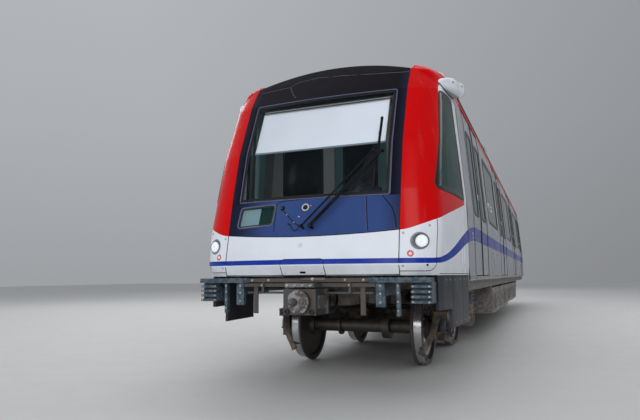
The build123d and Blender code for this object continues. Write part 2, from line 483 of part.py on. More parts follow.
# ---------------------------------------------------------------- bogies
def lathe(profile):
    """Solid of revolution about the x axis at y = 0, z = AXLE_Z, profile of (x, r)."""
    f = face_of([(x, 0, AXLE_Z + r) for x, r in profile])
    return Solid.revolve(f, 360, Axis(at(0, 0, AXLE_Z), (1, 0, 0)))
WHEEL = [(640, 0), (640, 115), (695, 130), (705, 370), (677, 390), (677, FLANGE_R - 8), (685, FLANGE_R), (698, FLANGE_R - 6), (712, TREAD_R + 3), (812, TREAD_R - 3), (812, 375), (770, 365), (760, 140), (815, 130), (815, 95), (890, 95), (890, 62), (1075, 62), (1075, 0)]
half_profile = WHEEL
left_half = [(-x, r) for x, r in half_profile]
wheel_r = lathe(half_profile)
wheel_l = lathe(left_half)
shaft = rod((-645, 0, AXLE_Z), (645, 0, AXLE_Z), 82)
wheelset = fuse(wheel_r, shaft, wheel_l)
n = 1
for s in BOGIE_S:
    for d in (-AXLE_OFFSET, AXLE_OFFSET):
        save("wheelset_%d" % n, [w.moved(Location((0, s + d, 0))) for w in wheelset])
        n += 1

frame_parts = []
for side in (-1, 1):
    xa, xb = sorted((side * 915, side * 1065))
    frame_parts.append(side_prism([(-1240, 560), (-1240, 640), (-620, 660), (-480, 560), (480, 560), (620, 660), (1240, 640), (1240, 560), (720, 560), (520, 420), (-520, 420), (-720, 560)], xa, xb))
    for d in (-AXLE_OFFSET, AXLE_OFFSET):
        frame_parts += cut(box(xa, xb, d - 130, d + 130, 310, 590), rod((xa - 10, d, AXLE_Z), (xb + 20, d, AXLE_Z), 68))
    frame_parts.append(rod((side * 990, 0, 560), (side * 990, 0, 868), 210))
frame_parts.append(box(-1000, 1000, -170, 170, 440, 660))
for side in (-1, 1):
    for d in (-1, 1):
        ya, yb = sorted((d * 165, d * 440))
        xa, xb = sorted((side * 120, side * 560))
        frame_parts.append(box(xa, xb, ya, yb, 330, 620))
frame = cut(fuse(frame_parts), rod((0, 0, 300), (0, 0, 800), 90))
frame = [max(frame, key=lambda f: f.volume)]
for name, s in zip(("front_bogie_frame", "rear_bogie_frame"), BOGIE_S):
    save(name, [f.moved(Location((0, s, 0))) for f in frame])

# ---------------------------------------------------------------- underfloor boxes
#          s0      s1      x0     x1     z0
BOXES = [(4950.0, 6500.0, 300.0, 1280.0, 420.0),
         (6650.0, 8700.0, 300.0, 1280.0, 400.0),
         (8850.0, 10200.0, 300.0, 1280.0, 440.0),
         (10350.0, 12250.0, 300.0, 1280.0, 420.0)]
gear = []
for s0, s1, x0, x1, z0 in BOXES:
    gear.append(box(x0, x1, s0, s1, z0, 845))
    gear.append(box(-x1, -x0, s0 + 60, s1 - 40, z0, 845))
    for a in (s0 + 180, s1 - 300):
        for side in (-1, 1):
            xa, xb = sorted((side * (x0 + 80), side * 1145))
            gear.append(box(xa, xb, a, a + 90, 845, 1000))
save("underfloor_boxes", gear)
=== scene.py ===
import math
import random

import bmesh
import bpy
from mathutils import Matrix, Vector
from mathutils.bvhtree import BVHTree


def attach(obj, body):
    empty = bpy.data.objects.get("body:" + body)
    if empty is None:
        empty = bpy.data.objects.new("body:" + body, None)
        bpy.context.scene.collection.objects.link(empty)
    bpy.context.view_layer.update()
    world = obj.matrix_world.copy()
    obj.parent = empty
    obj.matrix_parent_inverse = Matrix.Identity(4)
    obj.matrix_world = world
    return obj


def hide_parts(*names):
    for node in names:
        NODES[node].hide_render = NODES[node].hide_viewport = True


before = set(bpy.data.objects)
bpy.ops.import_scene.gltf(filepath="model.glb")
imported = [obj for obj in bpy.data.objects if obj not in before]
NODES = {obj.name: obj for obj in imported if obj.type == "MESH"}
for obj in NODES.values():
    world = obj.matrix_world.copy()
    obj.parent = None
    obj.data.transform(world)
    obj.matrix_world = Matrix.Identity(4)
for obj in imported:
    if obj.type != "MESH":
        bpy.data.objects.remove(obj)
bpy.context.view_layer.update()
rnd = random.Random(11)

# Stations s run from the nose tip rearwards, in metres; y = s - S_MID.
S_MID = 8.62
UP, ACROSS, ALONG = Vector((0, 0, 1)), Vector((1, 0, 0)), Vector((0, 1, 0))


def P(x, s, z):
    return Vector((x, s - S_MID, z))


# ------------------------------------------------------------------ camera
YAW, PITCH, ROLL, FOCAL = 0.386955, 0.118656, -0.007309, 551.54
EYE = Vector((2.14354, -13.37351, 1.06659))
fwd = Vector((-math.sin(YAW) * math.cos(PITCH), math.cos(YAW) * math.cos(PITCH), math.sin(PITCH)))
lvl = Vector((math.cos(YAW), math.sin(YAW), 0))
upv = lvl.cross(fwd)
cam_x = lvl * math.cos(ROLL) + upv * math.sin(ROLL)
cam_y = upv * math.cos(ROLL) - lvl * math.sin(ROLL)
cam_data = bpy.data.cameras.new("camera")
cam_data.sensor_width, cam_data.lens = 36.0, 36.0 * FOCAL / 640.0
cam_data.clip_start, cam_data.clip_end = 0.05, 500.0
cam = bpy.data.objects.new("camera", cam_data)
bpy.context.scene.collection.objects.link(cam)
cam.matrix_world = Matrix(((cam_x.x, cam_y.x, -fwd.x, EYE.x), (cam_x.y, cam_y.y, -fwd.y, EYE.y), (cam_x.z, cam_y.z, -fwd.z, EYE.z), (0, 0, 0, 1)))
bpy.context.scene.camera = cam
bpy.context.scene.view_settings.view_transform = "Standard"
bpy.context.scene.view_settings.look = "None"


# ------------------------------------------------------------------ materials
class Mat:
    """A procedural material: one Principled shader and the nodes that drive it."""

    def __init__(self, name):
        self.m = bpy.data.materials.new(name)
        self.m.use_nodes = True
        self.t = self.m.node_tree
        self.t.nodes.clear()
        self.out = self.n("ShaderNodeOutputMaterial")
        self.p = self.n("ShaderNodeBsdfPrincipled")
        self.t.links.new(self.p.outputs[0], self.out.inputs[0])
        self.obj = self.n("ShaderNodeTexCoord").outputs["Object"]

    def n(self, kind, **kw):
        node = self.t.nodes.new(kind)
        for k, v in kw.items():
            setattr(node, k, v)
        return node

    def put(self, socket, value):
        if isinstance(value, bpy.types.NodeSocket):
            self.t.links.new(value, socket)
        elif hasattr(value, "__len__") and len(value) == 3 and socket.type == "RGBA":
            socket.default_value = (*value, 1.0)
        else:
            socket.default_value = value

    def set(self, **kw):
        for k, v in kw.items():
            self.put(self.p.inputs[k.replace("_", " ")], v)
        return self

    def calc(self, op, a, b=0.0, c=0.0, clamp=False):
        node = self.n("ShaderNodeMath", operation=op, use_clamp=clamp)
        for i, v in enumerate((a, b, c)):
            self.put(node.inputs[i], v)
        return node.outputs[0]

    def blend(self, f, a, b, how="MIX"):
        node = self.n("ShaderNodeMix", data_type="RGBA", blend_type=how)
        self.put(node.inputs[0], f)
        self.put(node.inputs[6], a)
        self.put(node.inputs[7], b)
        return node.outputs[2]

    def scaled(self, sx, sy, sz):
        node = self.n("ShaderNodeMapping")
        self.put(node.inputs["Vector"], self.obj)
        node.inputs["Scale"].default_value = (sx, sy, sz)
        return node.outputs[0]

    def noise(self, scale, detail=2.0, rough=0.5, vec=None):
        node = self.n("ShaderNodeTexNoise")
        self.put(node.inputs["Vector"], self.obj if vec is None else vec)
        node.inputs["Scale"].default_value = scale
        node.inputs["Detail"].default_value = detail
        node.inputs["Roughness"].default_value = rough
        return node.outputs[0]

    def span(self, v, a, b, lo=0.0, hi=1.0, smooth=True):
        node = self.n("ShaderNodeMapRange", clamp=True, interpolation_type="SMOOTHSTEP" if smooth else "LINEAR")
        for i, x in enumerate((v, a, b, lo, hi)):
            self.put(node.inputs[i], x)
        return node.outputs[0]

    def xyz(self):
        node = self.n("ShaderNodeSeparateXYZ")
        self.put(node.inputs[0], self.obj)
        return node.outputs

    def inner(self, nose=True, limit=-0.02):
        """1 on faces that look towards the middle of the car, 0 on its outside."""
        x, y, z = self.xyz()
        rel = self.n("ShaderNodeCombineXYZ")
        self.put(rel.inputs[0], x)
        self.put(rel.inputs[1], self.calc("MINIMUM", self.calc("ADD", y, 7.15), 0.0) if nose else 0.0)
        self.put(rel.inputs[2], self.calc("MULTIPLY", self.calc("SUBTRACT", z, 2.2), 0.25) if nose else self.calc("MULTIPLY", self.calc("SUBTRACT", z, 2.2), 0.1))
        geo = self.n("ShaderNodeNewGeometry")
        dot = self.n("ShaderNodeVectorMath", operation="DOT_PRODUCT")
        self.put(dot.inputs[0], geo.outputs["Normal"])
        self.put(dot.inputs[1], rel.outputs[0])
        return self.calc("LESS_THAN", dot.outputs["Value"], limit)

    def curve(self, v, points):
        node = self.n("ShaderNodeFloatCurve")
        self.put(node.inputs["Value"], v)
        c = node.mapping.curves[0]
        while len(c.points) < len(points):
            c.points.new(0.5, 0.5)
        for pt, (a, b) in zip(c.points, points):
            pt.location = (a, b)
            pt.handle_type = "AUTO_CLAMPED"
        node.mapping.update()
        return node.outputs[0]

    def bump(self, height, strength, dist=0.001):
        node = self.n("ShaderNodeBump")
        node.inputs["Strength"].default_value = strength
        node.inputs["Distance"].default_value = dist
        self.put(node.inputs["Height"], height)
        self.put(self.p.inputs["Normal"], node.outputs[0])
        return self


def tint(c, k):
    return tuple(min(1.0, v * k) for v in c)


def finish(name, col, rough=0.4, metal=0.0, coat=0.0, vary=0.08, scale=2.5, grain=90.0, bump=0.15, dist=0.0008,
           spread=0.10, dirt=None, dirt_at=None, dirt_much=0.5, brushed=None, spec=0.5, wear=None):
    """A worn paint, plastic, rubber or metal: colour drift, dirt in blotches, uneven gloss and fine grain."""
    m = Mat(name)
    big = m.noise(scale, 4.0, 0.6)
    base = m.blend(m.span(big, 0.3, 0.7), tint(col, 1 - vary), tint(col, 1 + vary))
    fine = m.noise(grain, 3.0, 0.6, m.scaled(*brushed) if brushed else None)
    if dirt is not None:
        spots = m.span(m.noise(scale * 2.7, 6.0, 0.7), 0.42, 0.72)
        if dirt_at is not None:
            z = m.xyz()[2]
            spots = m.calc("MULTIPLY", m.span(z, dirt_at[1], dirt_at[0]), m.calc("ADD", spots, 0.35, clamp=True))
        base = m.blend(m.calc("MULTIPLY", spots, dirt_much), base, dirt)
    if wear is not None:
        geo = m.n("ShaderNodeNewGeometry")
        worn = m.calc("MULTIPLY", m.span(geo.outputs["Pointiness"], 0.515, 0.56), m.span(m.noise(grain * 0.3, 3.0), 0.4, 0.6))
        base = m.blend(worn, base, wear)
    m.set(Base_Color=base, Metallic=metal, Coat_Weight=coat, Coat_Roughness=0.06, Specular_IOR_Level=spec)
    m.set(Roughness=m.span(m.calc("ADD", m.calc("MULTIPLY", big, 0.6), m.calc("MULTIPLY", fine, 0.4)), 0.3, 0.7,
                           max(0.02, rough - spread), min(1.0, rough + spread)))
    m.bump(fine, bump, dist)
    return m.m


# lower edge of the red field and the two edges of the blue stripe, as (s, z)
RED_LOW = [(0.0, 1.480), (0.203, 1.480), (0.220, 1.492), (0.261, 1.524), (0.312, 1.553), (0.386, 1.586), (0.549, 1.634), (0.835, 1.703), (1.128, 1.768), (1.494, 1.836), (2.5, 1.845)]
RED_UP = [(0.0, 2.30), (0.76, 2.30), (0.80, 2.74), (0.829, 2.85), (0.86, 2.96), (0.90, 3.03), (0.96, 3.08), (1.06, 3.11), (1.2, 3.12), (2.5, 3.12)]
BLUE_TOP = [(0.0, 1.222), (0.25, 1.222), (0.332, 1.225), (0.458, 1.243), (0.600, 1.276), (0.764, 1.330), (0.963, 1.400), (1.217, 1.484), (1.582, 1.569), (1.977, 1.624), (2.339, 1.648), (2.5, 1.650)]
BLUE_LOW = [(0.0, 1.174), (0.247, 1.174), (0.337, 1.176), (0.502, 1.190), (0.648, 1.216), (0.818, 1.254), (1.024, 1.309), (1.293, 1.378), (1.688, 1.439), (2.192, 1.474), (2.5, 1.478)]
WHITE, RED, BLUE = (0.81, 0.85, 0.92), (0.66, 0.001, 0.002), (0.003, 0.034, 0.36)
# painted shade: the saloon sides' paint is white; this grey darkens it to stand in for the shade those sides lie in
SIDE_PAINTED_SHADE_GREY = (0.38, 0.395, 0.43)
GREY_ROOF = (0.44, 0.46, 0.49)


LINING = (0.34, 0.37, 0.36)


def livery(name, red=True, blue=True, roof=False, body=WHITE, metal=0.0):
    """White gloss paint with the red cab field, the red cant rail stripe and the blue wave."""
    m = Mat(name)
    x, y, z = m.xyz()
    s = m.calc("ADD", y, S_MID)
    u = m.calc("DIVIDE", s, 2.5, clamp=True)

    def edge(points):
        return m.calc("ADD", m.calc("MULTIPLY", m.curve(u, [(a / 2.5, (b - 1.0) / 2.5) for a, b in points]), 2.5), 1.0)

    drift = m.noise(1.1, 4.0, 0.6)
    base = m.blend(m.span(drift, 0.3, 0.7), tint(body, 0.95), tint(body, 1.04))
    if roof:
        top = m.calc("GREATER_THAN", z, 3.30)
        corner = m.calc("GREATER_THAN", m.calc("ABSOLUTE", x), 0.9095)
        aft = m.calc("GREATER_THAN", s, m.calc("ADD", 1.02, m.calc("MULTIPLY", corner, 0.40)))
        base = m.blend(m.calc("MULTIPLY", top, aft), base, GREY_ROOF)
        brow = m.calc("MULTIPLY", m.calc("LESS_THAN", m.calc("ABSOLUTE", x), 0.9095), m.calc("MULTIPLY", m.calc("GREATER_THAN", z, 3.05), m.calc("LESS_THAN", s, 1.02)))
        base = m.blend(brow, base, m.blend(drift, (0.002, 0.002, 0.003), (0.004, 0.003, 0.006)))
    if blue:
        f = m.calc("MULTIPLY", m.calc("GREATER_THAN", z, edge(BLUE_LOW)), m.calc("LESS_THAN", z, edge(BLUE_TOP)))
        base = m.blend(f, base, m.blend(drift, tint(BLUE, 0.85), tint(BLUE, 1.15)))
    if red:
        side = m.calc("GREATER_THAN", m.calc("ABSOLUTE", x), 0.9095)
        low = m.calc("MULTIPLY", m.calc("GREATER_THAN", z, edge(RED_LOW)), m.calc("MULTIPLY", m.calc("LESS_THAN", z, 2.3), m.calc("LESS_THAN", s, 1.388)))
        high = m.calc("MULTIPLY", m.calc("GREATER_THAN", z, edge(RED_UP)), 1.0)
        f = m.calc("MULTIPLY", m.calc("MAXIMUM", low, high), side)
        if roof:
            f = m.calc("MULTIPLY", f, m.calc("SUBTRACT", 1.0, m.calc("MULTIPLY", top, aft)))
        else:
            f = m.calc("MULTIPLY", f, m.calc("LESS_THAN", z, 3.305))
        base = m.blend(f, base, m.blend(drift, tint(RED, 0.92), tint(RED, 1.08)))
    # road dust along the lower edge and faint runs down the side
    streak = m.noise(1.0, 5.0, 0.65, m.scaled(9.0, 9.0, 0.9))
    low_dust = m.calc("MULTIPLY", m.span(z, 1.32, 1.0), m.span(m.noise(3.2, 6.0, 0.7), 0.25, 0.75))
    runs = m.calc("MULTIPLY", m.span(streak, 0.55, 0.8), 0.10)
    base = m.blend(m.calc("ADD", m.calc("MULTIPLY", low_dust, 0.28), runs, clamp=True), base, (0.27, 0.25, 0.23))
    base = m.blend(m.inner(nose=red and blue and body is WHITE, limit=0.15 if roof else -0.02), base, m.blend(m.span(drift, 0.3, 0.7), tint(LINING, 0.94), tint(LINING, 1.05)))
    peel = m.noise(260.0, 2.0, 0.5)
    ripple = m.noise(2.6, 2.0, 0.5)
    m.set(Base_Color=base, Coat_Weight=0.03, Coat_Roughness=0.05, Specular_IOR_Level=0.11)
    m.p.inputs["Metallic"].default_value = metal
    m.set(Roughness=m.span(m.calc("ADD", m.calc("MULTIPLY", drift, 0.5), m.calc("MULTIPLY", streak, 0.5)), 0.3, 0.7, 0.16, 0.30))
    m.bump(m.calc("ADD", m.calc("MULTIPLY", peel, 0.02), ripple), 0.12, 0.003)
    return m.m


def mask_paint():
    """Gloss black front mask, its lower panel deep blue."""
    m = Mat("mask_black_blue")
    x, y, z = m.xyz()
    drift = m.noise(1.6, 3.0, 0.6)
    low = m.calc("MULTIPLY", m.calc("LESS_THAN", z, 1.822), m.span(x, -0.88, -0.30, 0.12, 1.0))
    low = m.calc("MULTIPLY", low, m.span(x, 0.70, 0.93, 1.0, 0.45))
    blue = m.blend(drift, (0.030, 0.062, 0.200), (0.046, 0.088, 0.255))
    black = m.blend(drift, (0.004, 0.003, 0.006), (0.008, 0.006, 0.011))
    edge = m.calc("MULTIPLY", m.span(m.calc("ABSOLUTE", x), 0.80, 0.92), m.calc("GREATER_THAN", z, 1.822))
    black = m.blend(m.calc("MULTIPLY", edge, 0.5), black, (0.02, 0.028, 0.07))
    base = m.blend(low, black, blue)
    dust = m.span(m.noise(5.0, 6.0, 0.7), 0.5, 0.85)
    base = m.blend(m.calc("MULTIPLY", dust, 0.03), base, (0.3, 0.29, 0.28))
    base = m.blend(m.inner(), base, (0.012, 0.012, 0.015))
    m.set(Base_Color=base, Coat_Weight=0.02, Coat_Roughness=0.04, Specular_IOR_Level=0.08)
    m.set(Roughness=m.span(drift, 0.3, 0.7, 0.10, 0.20))
    m.bump(m.noise(2.2, 2.0), 0.06, 0.002)
    return m.m


def glass(name, col, clear, glancing, rough=(0.015, 0.06), dusty=0.08, spec=0.42):
    """Tinted pane: see-through face on, reflecting at a glancing angle, with a film of dust."""
    m = Mat(name)
    face = m.n("ShaderNodeLayerWeight")
    face.inputs["Blend"].default_value = 0.35
    film = m.noise(3.0, 6.0, 0.7)
    base = m.blend(m.calc("MULTIPLY", m.span(film, 0.45, 0.8), dusty), col, (0.35, 0.36, 0.36))
    m.set(Base_Color=base, Roughness=m.span(film, 0.3, 0.75, *rough), IOR=1.5, Specular_IOR_Level=spec)
    m.set(Alpha=m.span(face.outputs["Facing"], 0.15, 0.95, clear, glancing, smooth=False))
    m.bump(m.noise(1.3, 1.0), 0.03, 0.002)
    return m.m


def glow(name, col, strength, rough=0.3):
    m = Mat(name)
    cells = m.noise(70.0, 2.0)
    m.set(Base_Color=m.blend(cells, tint(col, 0.8), col), Roughness=m.span(cells, 0.3, 0.7, rough, rough + 0.15))
    m.put(m.p.inputs["Emission Color"], m.blend(cells, tint(col, 0.92), col))
    m.p.inputs["Emission Strength"].default_value = strength
    return m.m


def fabric(name, col, thread=900.0, bump=0.35, sheen=0.3, contrast=0.06):
    """Woven cloth: two sets of threads, with slight colour drift."""
    m = Mat(name)
    x, y, z = m.xyz()
    a = m.calc("SINE", m.calc("MULTIPLY", x, thread))
    b = m.calc("SINE", m.calc("MULTIPLY", m.calc("ADD", y, m.calc("MULTIPLY", z, 0.9)), thread))
    weave = m.calc("MULTIPLY", a, b)
    drift = m.noise(2.2, 3.0)
    base = m.blend(m.span(drift, 0.3, 0.7), tint(col, 0.96), tint(col, 1.03))
    base = m.blend(m.span(weave, -0.8, 0.8, 0.0, contrast), base, tint(col, 0.7))
    m.set(Base_Color=base, Roughness=m.span(drift, 0.3, 0.7, 0.80, 0.92), Sheen_Weight=sheen, Sheen_Roughness=0.5)
    m.bump(m.calc("ADD", m.calc("MULTIPLY", weave, 0.15), m.noise(60.0, 3.0)), bump, 0.0004)
    return m.m


DUST, BRAKE = (0.20, 0.16, 0.12), (0.12, 0.075, 0.05)
M = {
    "livery": livery("livery_cab", roof=True),
    # saloon sides painted grey over their white paint: painted shade
    "side_livery_painted_shade": livery("side_livery_painted_shade", body=SIDE_PAINTED_SHADE_GREY, metal=0.25),
    "plain_white": livery("paint_white", red=False, blue=False),
    "corner_red": finish("paint_red", RED, 0.42, vary=0.06, scale=1.5, grain=260.0, bump=0.01, spread=0.08, spec=0.02),
    "mask": mask_paint(),
    "screen": glass("glass_windscreen", (0.010, 0.020, 0.028), 0.10, 0.70),
    "teal_post": finish("interior_pale_teal", (0.30, 0.50, 0.50), 0.45, vary=0.05, bump=0.08),
    "pane": glass("glass_saloon", (0.010, 0.050, 0.047), 0.36, 0.90, spec=0.28),
    "door_pane": glass("glass_door", (0.012, 0.052, 0.046), 0.34, 0.90, spec=0.28),
    "cab_pane": glass("glass_cab_side", (0.008, 0.060, 0.055), 0.32, 0.88, spec=0.20),
    "lens": glass("glass_lamp", (0.70, 0.75, 0.80), 0.10, 0.35, dusty=0.15),
    "red_lens": glow("lamp_red", (0.95, 0.03, 0.04), 0.45, 0.15),
    "red_core": glow("lamp_red_core", (1.0, 0.46, 0.46), 0.9, 0.2),
    "bulb": glow("lamp_white", (0.80, 0.83, 0.86), 0.42),
    "strip": glow("lamp_saloon", (1.0, 0.90, 0.66), 5.0),
    "roof": finish("roof_paint", GREY_ROOF, 0.42, coat=0.1, vary=0.07, dirt=DUST, dirt_much=0.45, spread=0.12, bump=0.2),
    "under": finish("underframe_paint", (0.085, 0.088, 0.092), 0.55, dirt=DUST, dirt_much=0.7, vary=0.2, grain=60.0, bump=0.3, wear=(0.2, 0.16, 0.13)),
    "boxes": finish("case_paint", (0.13, 0.135, 0.14), 0.50, dirt=DUST, dirt_much=0.6, vary=0.15, grain=70.0, bump=0.25, wear=(0.25, 0.22, 0.2)),
    "skirt": finish("skirt_paint", (0.022, 0.026, 0.036), 0.45, coat=0.05, dirt=(0.075, 0.068, 0.060), dirt_at=(0.56, 0.95), dirt_much=0.4, vary=0.10, bump=0.15, spec=0.3),
    "slate": finish("anticlimber_paint", (0.036, 0.064, 0.090), 0.42, coat=0.05, dirt=(0.06, 0.06, 0.06), dirt_much=0.25, vary=0.08, bump=0.15, spec=0.3, wear=(0.10, 0.13, 0.16)),
    "guard": finish("guard_steel", (0.075, 0.068, 0.062), 0.55, metal=0.2, dirt=BRAKE, dirt_much=0.35, vary=0.2, bump=0.35, grain=45.0),
    "rubber": finish("rubber_black", (0.018, 0.018, 0.019), 0.62, vary=0.15, grain=200.0, bump=0.25, spread=0.14),
    "seam": finish("seam_shadow", (0.012, 0.012, 0.014), 0.85, vary=0.1, spec=0.2),
    "frit": finish("pane_border", (0.010, 0.010, 0.012), 0.24, coat=0.1, vary=0.1, bump=0.02, spread=0.05, spec=0.35),
    "screen_line": finish("screen_trim", (0.105, 0.11, 0.20), 0.32, coat=0.3, vary=0.08, bump=0.08),
    "soft_line": finish("panel_gap_light", (0.085, 0.085, 0.095), 0.5, vary=0.1),
    "inner_white": finish("interior_laminate", (0.66, 0.66, 0.60), 0.45, vary=0.04, bump=0.12),
    "inner_teal": finish("interior_teal", (0.10, 0.28, 0.26), 0.40, vary=0.06, bump=0.1),
    "ceiling": finish("ceiling_laminate", (0.70, 0.69, 0.62), 0.5, vary=0.03, bump=0.08),
    "floor_cover": finish("floor_covering", (0.10, 0.11, 0.12), 0.6, vary=0.1, scale=40.0, bump=0.25, dirt=(0.18, 0.17, 0.15), dirt_much=0.3),
    "desk": finish("desk_moulding", (0.035, 0.036, 0.040), 0.55, vary=0.08, grain=400.0, bump=0.35),
    "bench": finish("bench_moulding", (0.030, 0.085, 0.30), 0.32, coat=0.2, vary=0.06, grain=300.0, bump=0.12),
    "steel": finish("stainless_tube", (0.60, 0.60, 0.59), 0.26, metal=1.0, vary=0.05, brushed=(1, 1, 30), bump=0.08),
    "yellow": finish("rail_yellow", (0.68, 0.46, 0.02), 0.35, coat=0.3, vary=0.05, bump=0.1),
    "cast": finish("cast_frame", (0.060, 0.060, 0.064), 0.62, metal=0.2, dirt=BRAKE, dirt_much=0.75, vary=0.25, grain=38.0, bump=0.55, dist=0.0015, wear=(0.20, 0.15, 0.11)),
    "wheel": finish("wheel_steel", (0.13, 0.12, 0.115), 0.48, metal=0.7, dirt=BRAKE, dirt_much=0.6, vary=0.15, grain=55.0, bump=0.3),
    "tread": finish("wheel_tread", (0.55, 0.55, 0.56), 0.22, metal=1.0, vary=0.05, brushed=(60, 1, 1), bump=0.15),
    "spring": finish("spring_steel", (0.045, 0.060, 0.090), 0.42, metal=0.3, dirt=BRAKE, dirt_much=0.4, vary=0.15),
    "bolt": finish("bolt_zinc", (0.42, 0.42, 0.43), 0.38, metal=0.9, vary=0.12, bump=0.2, dirt=BRAKE, dirt_much=0.3),
    "alu": finish("pantograph_alloy", (0.30, 0.31, 0.32), 0.38, metal=0.9, vary=0.08, dirt=(0.08, 0.08, 0.08), dirt_much=0.4, bump=0.2),
    "carbon": finish("contact_carbon", (0.022, 0.022, 0.024), 0.45, metal=0.2, vary=0.15, brushed=(1, 40, 1), bump=0.3),
    "copper": finish("shunt_braid", (0.36, 0.15, 0.07), 0.45, metal=1.0, vary=0.15, grain=500.0, bump=0.5),
    "insulator": finish("insulator_glaze", (0.24, 0.055, 0.030), 0.20, coat=0.6, vary=0.10, bump=0.06, dirt=(0.12, 0.10, 0.09), dirt_much=0.3),
    "panto_base": finish("pantograph_base_paint", (0.115, 0.12, 0.125), 0.45, dirt=(0.10, 0.09, 0.08), dirt_much=0.5, vary=0.12),
    "coupler": finish("coupler_casting", (0.075, 0.075, 0.080), 0.52, metal=0.5, dirt=BRAKE, dirt_much=0.5, vary=0.2, grain=35.0, bump=0.5, dist=0.0012, wear=(0.3, 0.29, 0.28)),
    "coupler_face": finish("coupler_face_steel", (0.20, 0.20, 0.21), 0.42, metal=0.8, dirt=(0.08, 0.07, 0.06), dirt_much=0.5, vary=0.15, grain=50.0, bump=0.3),
    "bezel": finish("lamp_bezel", (0.17, 0.19, 0.22), 0.38, coat=0.1, vary=0.06, bump=0.1),
    "reflector": finish("lamp_reflector", (0.80, 0.82, 0.85), 0.12, metal=1.0, vary=0.03, bump=0.03),
    "green": finish("button_green", (0.004, 0.20, 0.085), 0.30, coat=0.4, vary=0.06, bump=0.06),
    "plate": finish("plate_grey", (0.55, 0.56, 0.57), 0.36, metal=0.2, vary=0.05, bump=0.1),
    "dark": finish("plastic_dark", (0.009, 0.009, 0.012), 0.38, vary=0.10, grain=120.0, bump=0.06, spec=0.25),
    "wiper": finish("wiper_lacquer", (0.007, 0.007, 0.010), 0.30, vary=0.08, grain=60.0, bump=0.05, spec=0.22),
    "sill": finish("sill_alloy", (0.40, 0.41, 0.42), 0.34, metal=0.85, vary=0.08, brushed=(1, 0.2, 12), bump=0.12, dirt=DUST, dirt_much=0.35),
    "bellows": finish("bellows_cloth", (0.040, 0.041, 0.044), 0.72, vary=0.15, grain=500.0, bump=0.4, dirt=DUST, dirt_much=0.3),
    "seat_cloth": fabric("seat_weave", (0.040, 0.060, 0.110), bump=0.2, sheen=0.12),
    "blind_cloth": fabric("blind_weave", (0.86, 0.90, 0.93), thread=2200.0, bump=0.04, sheen=0.0, contrast=0.02),
    "hem_band": finish("blind_hem_band", (0.24, 0.34, 0.38), 0.4, vary=0.05, bump=0.05),
    # painted light: the pale panel glows though it is no lamp
    "glowing_paper": glow("panel_pale_blue_glowing", (0.50, 0.74, 0.84), 0.42, 0.5),
    "lens_rim": finish("lamp_rim", (0.09, 0.10, 0.11), 0.3, vary=0.08),
    "horn": finish("horn_trumpet", (0.30, 0.31, 0.33), 0.35, metal=1.0, vary=0.06),
}

NODE_MATS = {
    "front_bumper": "livery", "coupler_hatch": "livery", "right_cab_side": "livery", "left_cab_side": "livery",
    "headlight_panels": "livery", "cab_roof": "livery", "camera_pods": "plain_white",
    "right_side_wall": "side_livery_painted_shade", "left_side_wall": "side_livery_painted_shade", "door_leaves": "side_livery_painted_shade", "rear_end_wall": "plain_white",
    "front_mask": "mask", "windscreen": "screen", "saloon_windows": "pane", "door_panes": "door_pane", "cab_windows": "cab_pane",
    "roof_shell": "roof", "air_conditioners": "roof", "floor_deck": "under", "sole_bars": "under", "chassis_beams": "under",
    "centre_pins": "under", "underfloor_boxes": "boxes", "gangway_bellows": "bellows", "rear_drawbar": "coupler", "front_coupler": "coupler",
    "headlights": "lens", "tail_lights": "red_lens", "cab_skirt": "skirt", "anticlimbers": "slate", "guard_bars": "guard",
    "cab_partition": "inner_white", "partition_door": "inner_teal", "driver_desk": "desk", "driver_seat": "seat_cloth",
    "sun_blind": "blind_cloth", "ceiling_panel": "ceiling", "benches": "bench", "grab_poles": "steel",
    "pantograph_base": "panto_base", "pantograph_lower_arm": "alu", "pantograph_upper_arm": "alu", "pantograph_head": "alu",
    "wiper_arm": "wiper", "wiper_link": "wiper", "wiper_blade": "wiper",
    "front_bogie_frame": "cast", "rear_bogie_frame": "cast",
    "wheelset_1": "wheel", "wheelset_2": "wheel", "wheelset_3": "wheel", "wheelset_4": "wheel",
}
for node, key in NODE_MATS.items():
    for i in range(len(NODES[node].material_slots)):
        NODES[node].material_slots[i].material = M[key]


# ------------------------------------------------------------------ surfaces to fasten trim to
def tree(*names):
    verts, faces = [], []
    for n in names:
        me, k = NODES[n].data, len(verts)
        verts += [v.co.copy() for v in me.vertices]
        faces += [[k + i for i in p.vertices] for p in me.polygons]
    return BVHTree.FromPolygons(verts, faces)


FRONT = tree("front_mask", "windscreen", "cab_windows", "front_bumper", "coupler_hatch", "right_cab_side", "left_cab_side", "headlight_panels", "headlights", "tail_lights", "cab_roof")
CAB_SIDE = tree("right_cab_side", "left_cab_side", "cab_windows", "headlight_panels", "cab_roof", "front_bumper", "front_mask")
CAB_TOP = tree("cab_roof", "front_mask")
PODS = tree("camera_pods")


def drape(where, origin, direction, reach=0.012):
    """Point and outward normal where a ray meets the skin. Over a narrow gap the skin beside it is carried on."""
    d = direction.normalized()
    a = d.orthogonal().normalized()
    b = d.cross(a)
    best = None
    for k, off in enumerate((Vector(), a * reach, -a * reach, b * reach, -b * reach)):
        p, n, _, _ = where.ray_cast(origin + off, d)
        if p is None:
            continue
        if n.dot(d) > 0:
            n = -n
        if abs(n.dot(d)) < 0.04:
            continue
        t = (p - origin).dot(n) / d.dot(n)
        if best is None or t < best[0] - (0.006 if k else 0.0):
            best = (t, origin + d * t, n)
    return (best[1], best[2]) if best else None


def on_front(x, z):
    return drape(FRONT, Vector((x, -12.0, z)), ALONG)


def on_cab_side(s, z, sd=1):
    return drape(CAB_SIDE, Vector((sd * 3.0, s - S_MID, z)), Vector((-sd, 0, 0)))


def on_pixel(u, v, where=FRONT):
    d = fwd + cam_x * ((u - 320.0) / FOCAL) + cam_y * ((210.0 - v) / FOCAL)
    return drape(where, EYE.copy(), d, 0.006)


BODY_SIDE = ((1.355, 1.0), (1.355, 1.8), (1.268, 2.95), (1.237, 3.14), (1.212, 3.27))


